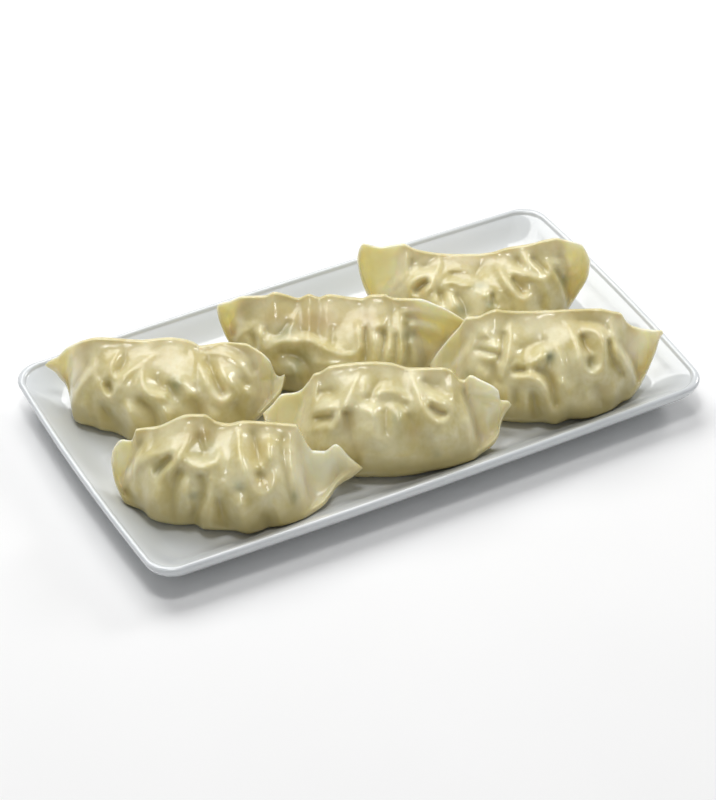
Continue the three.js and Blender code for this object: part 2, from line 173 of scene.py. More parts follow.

# ---------------------------------------------------------------- the six dumplings (mm)
# A dumpling is drawn on its leaning front face. s runs along it, t climbs the face from the
# foot to the seam, and depth comes forward out of the face.
# at      middle of the belly on the plate (x, y)
# seam    upper outline, pairs of s and t       foot    lower outline
# reach   how far back the seam stands          lift    height of the lower outline
# belly   ends of the filled part, and how far each end slants between foot and seam
# bulge   how far the belly swells out of the face
# lines   crests (+) and creases (-): a path and its heights from one end to the other;
#         the skin hangs smoothly between them
# lumps   centre, radii, height and turn in degrees
# tints   centre, radii, strength and turn in degrees; thin spots are paler and also painted glow, brown spots over deep valleys are partly painted shade, and broad brown bands darken the upper face
DUMPLINGS = {}
DUMPLINGS["gyoza_back_left"] = dict(
    at=(-67, 19), belly=(-36, 33, 6, 2), bulge=10.2,
    seam=[(-45, 18.5), (-43.5, 19.9), (-40, 21.8), (-37, 24.6), (-30, 27.7), (-25, 28.6), (-10, 27.8),
          (0, 28.6), (5, 28.1), (9, 26.9), (11, 25.7), (15, 26.2), (20, 26.8), (27, 26.5), (31, 24.6),
          (36, 20.5), (38.4, 15.2), (39.6, 14.6), (41.3, 15.3), (41.8, 14)],
    foot=[(-45, 18.5), (-42, 16.3), (-40, 13.8), (-38, 11.2), (-36.3, 6.5), (-35.3, 2), (-34.4, -1),
          (-32, -2.5), (-27, -3.6), (-24, -4.8), (-20, -5.4), (-17, -6.6), (-13, -8.6), (-5, -9.4),
          (12, -9), (22, -7), (30, -2.5), (35.5, 3), (40, 8.5), (41.8, 14)],
    reach=[(-45, 9), (-30, 11), (0, 12), (25, 11), (41.8, 7)],
    lift=[(-45, 16), (-38, 6), (-34, 0.8), (26, 0.8), (34, 3), (41.8, 11.8)],
    lines=[
        ([(-26, 21), (-27, 16.5), (-30, 12.5), (-33, 8.5), (-34.6, 3), (-34, -1)],
         [0.8, 1.2, 1.5, 1.6, 1.4, 0.6]),
        ([(-29, 19), (-31.5, 14.4), (-34.2, 10)], [-0.6, -1.2, -1]),
        ([(-41, 18), (-37.8, 15.5), (-36.3, 11.5)], [0.8, 1, 0.8]),
        ([(-17.6, 23.4), (-19.2, 19.5), (-20.2, 16), (-18.6, 13.6), (-16.4, 13.4)], [1, 2.1, 2.3, 2, 2]),
        ([(-15.4, 22), (-15.6, 18.4), (-17.2, 16)], [0, -0.4, -0.3]),
        ([(-26, 15), (-24.4, 12), (-23, 9), (-21.2, 6.6), (-19.8, 5.6)], [1, 1.6, 1.6, 1.7, 1.5]),
        ([(-21.2, 11.4), (-19.8, 8.6)], [-0.9, -1.4]),
        ([(-4, 22.4), (-8, 20), (-12, 17), (-15.6, 14), (-17.4, 10.6), (-18.6, 7.6)],
         [0.8, 2, 2.3, 2.6, 2.4, 1.9]),
        ([(-29.4, 8), (-29.4, 3.6), (-27.6, 0)], [1.2, 1.6, 1.1]),
        ([(-23.4, 4.4), (-21.2, 1.2), (-18.8, -2), (-17, -5.4)], [-1.4, -3.4, -3.4, -2]),
        ([(-15.4, 6), (-12.8, 2), (-11.4, -3)], [1.5, 2.4, 1.8]),
        ([(-9.4, 5.8), (-6.4, 3), (-4.4, 0), (-4.4, -3.6)], [-1.4, -3.4, -3.8, -2.6]),
        ([(-1.8, 4), (0.6, 1), (1.4, -3)], [1.5, 2, 1.4]),
        ([(-9, 15.4), (-8.4, 11.5), (-6.4, 8.6), (-3.4, 7), (-0.4, 6.4)], [2.2, 2.3, 2.4, 2.3, 1.8]),
        ([(-3.6, 13.6), (-2.6, 11.2), (-1, 9.8)], [-0.4, -0.9, -0.7]),
        ([(1.6, 13), (4, 13), (6, 11.6), (7.6, 9.4), (9.4, 8.6), (11.6, 9.8)],
         [1.3, 2.2, 2.1, 2, 1.9, 1.5]),
        ([(0.9, 12), (1.4, 9.4), (2.6, 7.2)], [-1, -1.4, -0.9]),
        ([(8.4, 6), (10.6, 3.6), (11, 0), (11, -4)], [-0.7, -2.2, -2.2, -1.2]),
        ([(15.2, 3.6), (17.4, 0), (18, -4)], [1.4, 1.8, 1.2]),
        ([(8.2, 24), (10.4, 20.4), (12.4, 16.5), (14.4, 12.5), (15.8, 9), (17.6, 6.6), (20, 5.5),
          (22.4, 6.3), (23.4, 9)],
         [0.9, 2.1, 2.7, 2.9, 2.8, 2.3, 1.9, 1.8, 1.6]),
        ([(13.6, 20), (15.8, 15.5), (17.9, 11), (19.6, 8)], [-0.4, -1.2, -1.9, -1.8]),
        ([(18.8, 17.6), (20.6, 14.8), (22.8, 11.6), (25.6, 8.4)], [1.2, 2, 2.1, 1.4]),
        ([(14, 22.6), (18, 23), (22, 21.6), (26, 18.5), (29.5, 14.5)], [0.6, 0.9, 1.1, 1.1, 0.9]),
        ([(16, 24.8), (22, 24.2), (27, 20.8), (31, 16)], [0.2, 0.2, 0.2, 0]),
        ([(26.4, 13.6), (28.4, 11.2)], [-0.1, -0.2]),
        ([(27.4, 10), (29.8, 8), (32.6, 6)], [1.2, 1.8, 1.4]),
        ([(31, 23), (32.2, 18), (32.6, 13), (34, 8), (35.4, 3)], [0.5, 0.9, 1.2, 1.4, 1]),
        ([(33.4, 13), (36, 13.5), (39, 14.2)], [-1.4, -2, -1.2]),
        ([(24.2, 4.6), (25.6, 0.4)], [-1.2, -1]),
        ([(29, 4), (30, 0)], [1, 0.7]),
    ],
    lumps=[((4.3, 11.6), (2.6, 2), 0.5), ((-8.4, 17.4), (2.6, 1.6), 0.3, 30)],
    tints=dict(
        thin=[((-33, 17), (7, 6), 1.0), ((36, 14), (5, 8), 0.8), ((19, 8), (3, 5), 0.8)],
        green=[((3, 11), (2.6, 3.4), 0.8), ((-20, 0), (2, 4), 0.6, 30)],
        brown=[((-6, 21), (22, 6), 0.32), ((20, 20), (8, 5), 0.2), ((12, 3), (4, 4), 0.6)]),
)
DUMPLINGS["gyoza_front_left"] = dict(
    at=(-67, -34.2), belly=(-38, 25, 4, -4), bulge=10.8,
    seam=[(-43.3, 14), (-42.5, 18.5), (-39, 22.3), (-36, 22), (-34, 26), (-27, 27), (-15, 31.2),
          (-10.5, 31.2), (-6, 28.6), (-2, 28), (3, 28.9), (14, 28.3), (21, 27.6), (24.6, 21.5),
          (27, 18.5), (31, 18.3), (35, 20.6), (40, 16), (44.6, 12.2)],
    foot=[(-43.3, 14), (-42, 8), (-40, 3), (-38.5, 0.3), (-32, -2.6), (-29, -5.2), (-25, -6.5),
          (-18, -7.3), (-14, -7.1), (-10, -8.8), (0, -9.2), (5, -10.2), (9, -9.4), (12, -8.2), (17, -7.8),
          (24, -5.6), (28, -2.8), (31, -0.6), (36, 6), (41, 9.2), (44.6, 12.2)],
    reach=[(-43.3, 7), (-30, 11), (0, 12), (25, 11.5), (44.6, 6.5)],
    lift=[(-43.3, 11.8), (-38, 2), (-30, 0.8), (24, 0.8), (32, 2.5), (44.6, 10.2)],
    lines=[
        ([(-29, 24), (-30.5, 19), (-34, 13.5), (-38, 8.5), (-39.5, 5)], [0.6, 1.2, 1.8, 1.8, 0.8]),
        ([(-32.5, 21), (-34.8, 16.5), (-38, 12.2), (-40, 9.2)], [-1, -3, -3.2, -1.6]),
        ([(-36.5, 8), (-33, 3), (-31, -1), (-29, -4.5)], [1.2, 1.6, 1.7, 1]),
        ([(-38.2, 4.4), (-35.2, -0.4), (-32.6, -2.8)], [-1.6, -2.6, -1.8]),
        ([(-36, 9.5), (-33, 13.5), (-29, 16.8), (-25, 17.8), (-21, 19.6)], [1.2, 1.2, 1.8, 2.2, 2.2]),
        ([(-21.3, 16.2), (-23.5, 13.8), (-26.6, 10.8)], [-0.8, -2.2, -1.2]),
        ([(-15.3, 23.5), (-16.5, 20.3), (-19.2, 16.4), (-22, 12.4), (-24.6, 9.2)], [1, 2, 2.6, 2.3, 1.2]),
        ([(-12.3, 23.5), (-11, 20), (-10.2, 17.6)], [-0.9, -2.6, -2.4]),
        ([(-15, 14.6), (-12.6, 12.8), (-9.4, 12.9), (-6.2, 14.2), (-4.9, 16.6), (-5.2, 20)],
         [1.9, 1.9, 1.8, 2.2, 2.1, 1]),
        ([(-18.4, 11.8), (-19.8, 8), (-20.6, 3), (-20.4, -2), (-19.4, -5.4)],
         [-1.4, -1.9, -1.9, -1.8, -1]),
        ([(-25.5, 7), (-26, 2), (-24.6, -3)], [1.2, 1.8, 1.2]),
        ([(-29, 11.6), (-28.4, 8)], [1.0, 1.0]),
        ([(-15.6, 8.6), (-15.8, 4), (-15.2, -1)], [1.2, 1.9, 1.3]),
        ([(-11.2, 10.6), (-10.2, 6.6), (-10.6, 1.6), (-13.4, -3), (-13.4, -7)], [-1, -2.2, -2, -2, -1.6]),
        ([(-6.6, 10), (-6.8, 5.6), (-7.4, -0.5), (-8, -5.5)], [1.4, 1.4, 1.6, 1.2]),
        ([(1.2, 25.5), (1.8, 20.5), (3, 15.5), (4.6, 11), (6, 7.2)], [1.4, 2.6, 3.2, 3, 2.3]),
        ([(6.4, 24.6), (7.4, 20.5), (8.2, 16.6), (8.4, 15)], [-0.8, -2.2, -2.2, -0.8]),
        ([(12.2, 24), (12.4, 20), (12.7, 16.4), (13.2, 13.4)], [0.8, 2.6, 2.9, 2.0]),
        ([(8.4, 10.6), (10.4, 9)], [-0.3, -0.3]),
        ([(6.6, 6), (8.2, 4), (10.6, 3.2), (13.2, 4.6), (14.8, 8), (14.4, 11.8)],
         [2.2, 2, 2, 2.2, 2.2, 2]),
        ([(16.6, 23), (16.6, 18), (17.4, 12), (18.6, 6), (19.6, 0.5)], [0, -0.2, -0.2, -0.2, 0]),
        ([(20, 24), (20.2, 18), (20.8, 12), (22.4, 5), (23.6, 0), (24.2, -4)],
         [0.8, 1.2, 1.5, 1.6, 1.4, 0.8]),
        ([(22.9, 20), (23.4, 13), (25.2, 6), (26.6, 2.2)], [-0.6, -1.4, -1.6, -1]),
        ([(-5.2, 1.6), (-4, -2), (-2.6, -6), (-1.6, -8.6)], [-1.4, -4.2, -4, -2.2]),
        ([(1.6, 5), (2.8, 0), (3.4, -5)], [1.4, 2.6, 1.6]),
        ([(9.6, -3), (11, -6), (12, -8.4)], [-0.6, -2.0, -2.4]),
        ([(13, 2), (15.6, -2), (16.6, -6)], [1.5, 1.5, 1]),
    ],
    lumps=[((9.4, 9), (3, 2.4), -0.3), ((-9.4, 17), (2.8, 2.6), -0.8), ((-24, 13), (3.6, 1.8), -0.4, 48),
           ((-8, 9), (1.4, 0.8), 0.35, 40), ((1, 6.5), (2.4, 1.4), 0.4, -10), ((-13, 5), (1.2, 1), 0.3)],
    tints=dict(
        thin=[((28, 11), (8, 8), 1.0), ((-37, 15), (4, 6), 0.8)],
        green=[((-26, 12), (2, 3), 0.9, -35), ((-10, 19), (4.5, 4), 0.7), ((-13, 3), (3, 2), 0.6),
               ((2, 6.5), (2, 3), 0.6, 40), ((21, 2), (1.6, 3), 0.8)],
        brown=[((-12, 24), (8, 6), 0.3), ((-11, 23.5), (5, 3), 0.8), ((8, 20), (3, 4), 0.6),
               ((10, 8), (4, 3), 0.5)]),
)
DUMPLINGS["gyoza_back_centre"] = dict(
    at=(-4, 7.5), belly=(-40, 30, 8, -6), bulge=10.2,
    seam=[(-44.8, 27), (-44, 28.6), (-40, 29.7), (-35, 31.5), (-27, 31.8), (-23.5, 33), (-19, 32),
          (-15, 30.9), (-11, 32.3), (-7.5, 31.2), (-4, 32.2), (4, 31.2), (8, 30.8), (12, 32.1),
          (16, 32.2), (19.5, 30.9), (29, 30.5), (34, 28.8), (40, 26), (46.6, 22)],
    foot=[(-44.8, 27), (-44.2, 24), (-42.5, 19), (-41, 15.5), (-37, 9), (-31, 2.5), (-24, -2),
          (-15.5, -3.8), (-8, -7), (2, -8.5), (12, -8.5), (22, -6), (29, 0), (33.5, 5.5), (40, 13.5),
          (46.6, 22)],
    reach=[(-44.8, 13), (-30, 14), (0, 14), (25, 12.5), (36, 9.5), (46.6, 7.5)],
    lift=[(-44.8, 23.5), (-38, 6), (-30, 0.8), (26, 0.8), (34, 4), (46.6, 21.7)],
    lines=[
        ([(-41.6, 25.4), (-39.9, 20.8), (-38.7, 17.6)], [-1.4, -1.9, -1.4]),
        ([(-38, 23), (-35.6, 21), (-32.8, 21.4)], [0.6, 0.8, 0.7]),
        ([(-38.2, 15.6), (-35.4, 18), (-32.6, 20), (-30, 21.8)], [1, 1.4, 1.5, 1]),
        ([(-30.8, 17), (-30.6, 13)], [-0.8, -1]),
        ([(-33.6, 15.4), (-32.4, 12.6)], [1.1, 1.1]),
        ([(-29.4, 21), (-28.9, 17), (-28.5, 13.6), (-26.6, 11.8)], [1, 2.1, 2, 1.4]),
        ([(-26.2, 18.6), (-22.6, 16.8), (-19.8, 19), (-17.6, 22.4)], [-0.6, -1.1, -1, -0.3]),
        ([(-14.8, 27), (-16.4, 22.6), (-18.6, 18.6)], [0.6, 1.3, 1.4]),
        ([(-26.6, 11.8), (-23.6, 13.5), (-20, 15), (-16, 14.8), (-12, 15.3), (-8.6, 14.4), (-5, 12.2),
          (-2, 10.8)],
         [1.4, 1.9, 2.1, 1.9, 2, 2, 1.7, 1.5]),
        ([(-13.6, 18.4), (-9.4, 17.6), (-5.2, 15)], [-0.5, -0.9, -0.9]),
        ([(-2.3, 20), (-2.8, 16), (-2.8, 13.4)], [-0.6, -1.2, -1]),
        ([(-2, 10.8), (1.4, 9.9), (5, 10.1), (7, 11.8), (7.7, 15), (7.2, 19), (5.4, 22.8)],
         [1.5, 1.5, 1.8, 2.4, 2.7, 2.4, 1]),
        ([(-21, 10.8), (-16.5, 10.2), (-12.6, 8.2), (-10.4, 4.6), (-10.4, 0.6)],
         [-1, -2.8, -3.6, -4, -2.6]),
        ([(-18.4, 6.4), (-16, 3.4), (-15.4, -1)], [1.3, 2.6, 1.6]),
        ([(-24.6, 7), (-22, 3)], [0.8, 0.8]),
        ([(-8.4, 7.4), (-4, 6.6), (1, 6.8), (5.4, 6.8)], [1, 1.3, 1.3, 1.1]),
        ([(9.3, 7.6), (9.7, 12), (9.3, 16.4), (9.4, 19.4)], [-1.8, -2.2, -2, -1]),
        ([(10.4, 18.7), (13, 20), (15.4, 20.9), (17, 22.8)], [1.1, 1.8, 1.9, 1]),
        ([(12.1, 18.2), (12.9, 15), (13.1, 11), (12.8, 7.6)], [1.7, 2, 1.7, 1.3]),
        ([(16.3, 18.2), (16.5, 15.4), (15.6, 12), (15.4, 8)], [-1.2, -1.6, -0.6, -0.8]),
        ([(18.7, 19.4), (18.4, 14), (17.8, 9)], [1.5, 1.9, 1.5]),
        ([(20.5, 17), (20.4, 12), (20.1, 7)], [-0.2, -0.4, -0.8]),
        ([(20.8, 26), (21.8, 21.4), (22.4, 17), (22.7, 12), (22.7, 7)], [0.6, 1.6, 2.3, 2.5, 2]),
        ([(24.2, 21), (24.5, 15.6), (24.7, 10.4), (24.5, 6.4)], [-0.6, -1.4, -1.8, -1.4]),
        ([(26.4, 15.4), (28.2, 11), (28.7, 7)], [1.2, 1.7, 1.3]),
        ([(27.6, 18.4), (30.4, 17.2), (33, 14.6)], [-1.4, -2.1, -1.2]),
        ([(26.2, 20.9), (29.5, 20.6), (33.6, 19.4), (37, 17)], [1, 1.2, 1.1, 0.8]),
        ([(22.5, 25.4), (27, 25.8), (33, 24.6), (39, 23.2), (44, 22)], [0.5, 0.9, 0.9, 0.7, 0.3]),
        ([(24.4, 23.4), (29, 23.6), (34, 22.4), (39, 20.8)], [-0.5, -0.9, -0.9, -0.6]),
        ([(31.6, 12), (33.4, 8.6)], [1, 0.9]),
        ([(13, 3), (14, -2)], [0.9, 0.7]),
        ([(25, 3), (26, -1)], [0.8, 0.6]),
    ],
    lumps=[((26.6, 20.6), (1.2, 0.9), 0.4), ((28.4, 10), (1.6, 1.8), 0.4), ((18.2, 12), (1.2, 1.4), 0.3)],
    tints=dict(
        thin=[((-40, 20), (4, 6), 1.0), ((-6, 22), (4, 4), 0.5), ((10, 20), (2.4, 4), 0.9),
              ((31, 17), (6, 5), 0.8)],
        green=[((-20, 18), (5, 2.4), 0.8, 35), ((-14, 8), (3, 3), 0.7), ((-16, 3), (4, 4), 0.6),
               ((25, 17), (3, 2.4), 0.8), ((-17, 1), (5, 5), 0.5)],
        brown=[((-8, 23), (26, 8), 0.42), ((-9, 22), (9, 4.5), 0.7), ((10, 24), (5, 4), 0.5),
               ((-24, 24), (5, 4), 0.4)]),
)
DUMPLINGS["gyoza_front_centre"] = dict(
    at=(-6.5, -34), belly=(-31, 31, 6, -4), bulge=11.4,
    seam=[(-44.5, 13), (-41, 16.2), (-37.3, 20), (-33, 20.5), (-31, 21.3), (-28, 24.5), (-26, 27.2),
          (-24, 27.8), (-20, 30), (-5, 31.4), (1, 31), (8, 29.3), (19, 29.4), (22.5, 28.5), (25.2, 25.4),
          (27, 25), (29, 26.6), (33, 24.9), (39, 21.3), (40, 17.8), (42.5, 17.5), (44, 16)],
    foot=[(-44.5, 13), (-43, 8), (-40, 3), (-35, -2), (-28, -6), (-18, -8.7), (-8, -9.4), (0, -9.4),
          (8, -8.8), (15, -7.5), (22, -6.3), (27, -5), (30, -4), (33, -1.5), (37, 1.5), (39.2, 4.8),
          (40.3, 9), (42, 13), (44, 16)],
    reach=[(-44.5, 6), (-30, 9), (0, 12), (25, 11), (44, 6)],
    lift=[(-44.5, 11.3), (-38, 4), (-30, 0.8), (28, 0.8), (36, 4), (44, 15.3)],
    lines=[
        ([(30, 18.8), (34, 18.2), (39.5, 17.2)], [-0.5, -1.4, -1.2]),
        ([(30.5, 20.8), (35, 20.2), (39, 19.2)], [0.5, 0.9, 0.7]),
        ([(38.4, 16.4), (38.2, 12), (38.6, 7)], [-0.8, -1.2, -0.6]),
        ([(35.8, 15.4), (35.4, 10), (36, 4)], [0.5, 0.9, 0.5]),
        ([(-24.6, 25.4), (-26, 20), (-29, 13.4), (-30.3, 8), (-29.8, 2)], [0.6, 1.1, 1.7, 1.8, 1]),
        ([(-29.4, 20.6), (-32, 14.5), (-33.6, 9)], [-0.8, -1.5, -1]),
        ([(-28.8, 11.8), (-26.4, 13.5), (-23.2, 14.6), (-19.7, 15.2), (-16.2, 15.5)],
         [1.2, 2, 2.3, 2.1, 1.6]),
        ([(-24.4, 20.4), (-20, 20.6)], [-0.2, -0.3]),
        ([(-26, 11.6), (-22.6, 11.4), (-19.4, 12)], [0, -0.4, -0.2]),
        ([(-27.5, 7), (-23.2, 8), (-19.4, 8)], [1.3, 1.8, 1.8]),
        ([(-10.2, 27), (-12.6, 21.7), (-14.8, 16.7), (-16.6, 13.2), (-18.4, 9.4)], [1, 2, 2.4, 2.4, 1.8]),
        ([(-15.4, 13.6), (-13.6, 9), (-12.6, 3), (-10.6, -4)], [-0.3, -1, -1, -0.3]),
        ([(-3.1, 24.2), (-5.2, 20.6), (-6.5, 17.8)], [0, -0.6, -0.8]),
        ([(-8.6, 24), (-8.2, 20.4)], [1.6, 1.5]),
        ([(-6.6, 19), (-3.5, 20.4), (0.7, 21), (5, 20.2), (8, 18)], [0.9, 1.2, 1.2, 1.4, 1.6]),
        ([(-3, 16.8), (1.6, 17.2), (6.2, 15.4)], [-0.1, -0.2, -0.1]),
        ([(-8.8, 14.4), (-5.6, 13.6), (-5.4, 10), (-6, 6.6), (-4.4, 4), (-2.4, 3.6)],
         [1.5, 2, 1.7, 1.6, 1.8, 1.4]),
        ([(3.3, 14.8), (3.8, 11), (3.5, 7.4)], [1.4, 2, 1.3]),
        ([(-0.9, 13.8), (-0.9, 9.4), (-0.8, 6.4)], [-0.5, -0.7, -0.2]),
        ([(7, 12.6), (9, 8.6), (9.6, 4.4)], [-0.6, -1.5, -0.7]),
        ([(6.9, 28.6), (8.6, 25.2), (10.2, 21.7), (11.9, 17), (13.6, 13), (15.8, 10.2), (18.4, 9.6),
          (20.6, 10.8), (22.4, 12.6)],
         [0.8, 1.8, 2.4, 2.7, 2.7, 2.3, 2, 2, 1.5]),
        ([(14.6, 15.2), (17.2, 13.6), (20, 13)], [-0.2, -0.6, -0.3]),
        ([(12, 19.2), (15.8, 18.2), (19.6, 16.2), (22.8, 13.4)], [1.4, 2.1, 2.3, 1.7]),
        ([(12.4, 24.4), (16.4, 21.6), (19.6, 19.6)], [-0.5, -0.9, -0.8]),
        ([(22, 27.6), (24.4, 22), (26, 16.6), (27.6, 11), (29, 5), (29.6, -1)],
         [0.7, 1.4, 1.9, 2.1, 2, 1.1]),
        ([(27.4, 20.4), (29, 15), (31, 9.4), (32.2, 5)], [-0.9, -1.8, -2, -1.2]),
        ([(28.4, 19.8), (31.4, 19.5), (36, 17.6), (38.5, 16.6)], [0.7, 1.2, 1.2, 0.8]),
        ([(30, 17.4), (33, 16.8), (37, 15.2)], [-0.8, -1.3, -1.4]),
        ([(38.2, 15), (38.4, 12), (37.6, 8)], [-1.2, -1.4, -1]),
        ([(16, 5.6), (19.4, 6.6), (23, 5.6)], [1.5, 2, 1.5]),
        ([(-8, -1), (0, -2), (8, -1.4)], [1, 1.3, 1.2]),
        ([(-24, 2), (-23, -4)], [1.4, 0.8]),
        ([(20, 0.6), (22.6, -3)], [1.2, 0.7]),
        ([(13.4, 5), (13.6, 0)], [0.1, 0.1]),
    ],
    lumps=[((-5.6, 12.4), (2, 1.6), 0.4), ((-19.6, 20.6), (5, 3.4), -1.0), ((16.6, 22.6), (4.6, 3), -1.0),
           ((21, 2.7), (1.8, 1.2), 0.4), ((-23, 4), (3.4, 3), 0.6), ((23.4, 8.4), (1, 1), 0.3)],
    tints=dict(
        thin=[((-37, 12), (7, 8), 1.0), ((34, 13), (5, 8), 1.0), ((17, 14), (3.4, 2), 0.8)],
        green=[((17, -2), (2, 2.6), 0.9), ((5, -6), (2.4, 2), 0.7), ((3, 12), (2.4, 4), 0.6)],
        brown=[((-14, 10), (3, 5), 0.7), ((9, 7), (3, 4), 0.7), ((-11, 0), (4, 4), 0.5)]),
)
DUMPLINGS["gyoza_back_right"] = dict(
    at=(54, 10), belly=(-31, 35, 8, -4), bulge=10.2,
    seam=[(-43.7, 27), (-43, 30.5), (-41.5, 32.9), (-35, 31.8), (-27, 33), (-22, 31), (-15, 29.7),
          (-8, 29.2), (0, 29.2), (6, 29.8), (12, 31.5), (20, 32.8), (26, 34.3), (30, 34.9), (35, 33.8),
          (39, 32.7), (41, 30.5), (43, 26.5)],
    foot=[(-43.7, 27), (-42.8, 22), (-40.7, 16), (-36, 7), (-30, 0.5), (-22, -5), (-12, -8.5), (0, -9.4),
          (12, -8.7), (21, -5.5), (28, -0.5), (33, 4.5), (35.2, 8.5), (39, 15), (42, 21), (43, 26.5)],
    reach=[(-43.7, 13), (-30, 14), (0, 13), (28, 14), (43, 12)],
    lift=[(-43.7, 23.5), (-38, 6), (-30, 0.8), (26, 0.8), (34, 4), (43, 23.6)],
    lines=[
        ([(-25.2, 30), (-25.2, 26), (-26.4, 22.2)], [0.7, 1.2, 1]),
        ([(-23.6, 27), (-23.8, 23.6)], [-0.5, -0.8]),
        ([(-41, 25), (-39.6, 20.5), (-38, 17)], [-0.8, -1.3, -0.9]),
        ([(-33.4, 14.8), (-30.4, 17.4), (-27.6, 19.5), (-24.4, 21.6)], [1, 1.5, 1.6, 1.1]),
        ([(-31.6, 20), (-34.2, 17.8)], [-1, -1]),
        ([(-28.6, 14.4), (-26.4, 16.6)], [1, 1.1]),
        ([(-14.4, 22.4), (-17, 21), (-20, 20.3), (-23, 18.8), (-24.7, 16), (-23.8, 13.4), (-21.8, 12.4)],
         [1.3, 1.8, 2.1, 2.2, 2.1, 1.9, 1.6]),
        ([(-22.2, 15.2), (-20, 16.4), (-17.6, 18.6)], [-0.6, -1.2, -0.8]),
        ([(-13, 28), (-13.4, 24), (-15.2, 20.4), (-17.2, 17), (-19, 13.8)], [0.6, 1.4, 2.3, 2.6, 2.1]),
        ([(-20, 24.2), (-17, 24.4)], [-0.6, -0.8]),
        ([(-12.4, 20.8), (-9.8, 22.9), (-6, 23.5), (-2.4, 22.6)], [1.4, 1.4, 1.2, 0.9]),
        ([(-9.6, 20.6), (-5.6, 20.8), (-2, 20)], [0.6, 0.6, 0.6]),
        ([(-11.4, 17.8), (-8, 18.6), (-5, 17.4), (-2, 17.4)], [1.5, 1.9, 1.7, 1.5]),
        ([(-13.1, 14.2), (-12, 10.6)], [-1.2, -1.2]),
        ([(-15.8, 15), (-14.8, 11)], [1.4, 1.3]),
        ([(-6.8, 13.4), (-4.4, 9.8), (-3.6, 6.4)], [-0.8, -2.2, -2.2]),
        ([(-9.6, 13), (-8.4, 8.6)], [1.4, 1.2]),
        ([(0.6, 14.8), (3, 13.6), (4.8, 11.4), (4.8, 8)], [1.4, 2.2, 1.6, 1.2]),
        ([(7.4, 14.6), (7.7, 11.4)], [1.6, 1.4]),
        ([(6, 13.6), (6.2, 10)], [-0.8, -1.2]),
        ([(0, 21), (2.2, 24.4)], [-0.6, -1]),
        ([(6.8, 25.6), (8.6, 22.6), (10.4, 19.6), (12.2, 16.6), (14.2, 13.6), (16.2, 11.9), (18.4, 11.9),
          (19.6, 13.4)],
         [0.9, 2, 2.6, 2.7, 2.5, 2.1, 1.8, 1.4]),
        ([(2.4, 20.2), (5.6, 18), (8.8, 14.8), (11, 11.4)], [1.5, 2, 1.8, 1.1]),
        ([(13.6, 19.2), (15.6, 16), (17.2, 14)], [-0.6, -1.4, -1.2]),
        ([(11, 22.6), (15, 22), (18.4, 21), (21.4, 20.2), (24.6, 18.2), (27, 14.8)],
         [1, 1.7, 2, 2.1, 1.8, 1]),
        ([(18.7, 18.4), (20.3, 16.8), (20.5, 14.4)], [0.7, 1, 0.8]),
        ([(17.4, 29.6), (18.8, 26.6), (20.4, 24.2), (23.6, 21.8)], [1, 2, 2, 1.3]),
        ([(21.2, 27.2), (23.2, 25), (25.8, 23)], [-1.1, -1.5, -1]),
        ([(15.4, 27), (16.6, 24.8)], [-0.9, -1]),
        ([(8, 29), (8.4, 26.4)], [0.8, 0.9]),
        ([(26.6, 25.6), (28.8, 21.8), (30.8, 18), (33, 13.6), (33.8, 10)], [1, 1.5, 1.7, 1.6, 0.9]),
        ([(30, 23), (31.8, 20.2), (33.7, 17.6), (35.4, 14)], [-1.4, -2.2, -2.6, -1.6]),
        ([(24.8, 13.4), (23.5, 9.2)], [-1.2, -1.4]),
        ([(32.6, 22.2), (35.5, 21.2), (38.5, 23), (40, 25.5)], [0.7, 1, 1, 0.6]),
        ([(28, 26.4), (31, 24.6), (35, 24), (38.2, 26), (39.4, 29)], [0.8, 1.1, 1.1, 0.9, 0.6]),
        ([(31, 28), (36, 28)], [-0.5, -0.8]),
        ([(2, 6), (4, 0)], [0.8, 0.6]),
        ([(12, 8), (14, 2)], [0.8, 0.6]),
        ([(27.4, 11), (28, 5)], [0.9, 0.6]),
    ],
    lumps=[((-8.6, 18), (2.4, 1.1), 0.3), ((-2.5, 17.2), (2.2, 1.1), 0.3), ((3, 13.3), (1.8, 1.2), 0.4)],
    tints=dict(
        thin=[((-35, 20), (7, 8), 1.0), ((38, 28), (4, 5), 0.8), ((0, 27), (14, 2.4), 0.7)],
        green=[((-5, 8), (3, 3), 1.0), ((1, 17), (2.6, 2), 0.5), ((5, 10), (2.2, 2.2), 0.7),
               ((33, 19), (2, 2.6), 0.9)],
        brown=[((-2, 24), (16, 5), 0.2), ((-20, 16), (2, 4), 0.7), ((17, 16), (3, 4), 0.6)]),
)
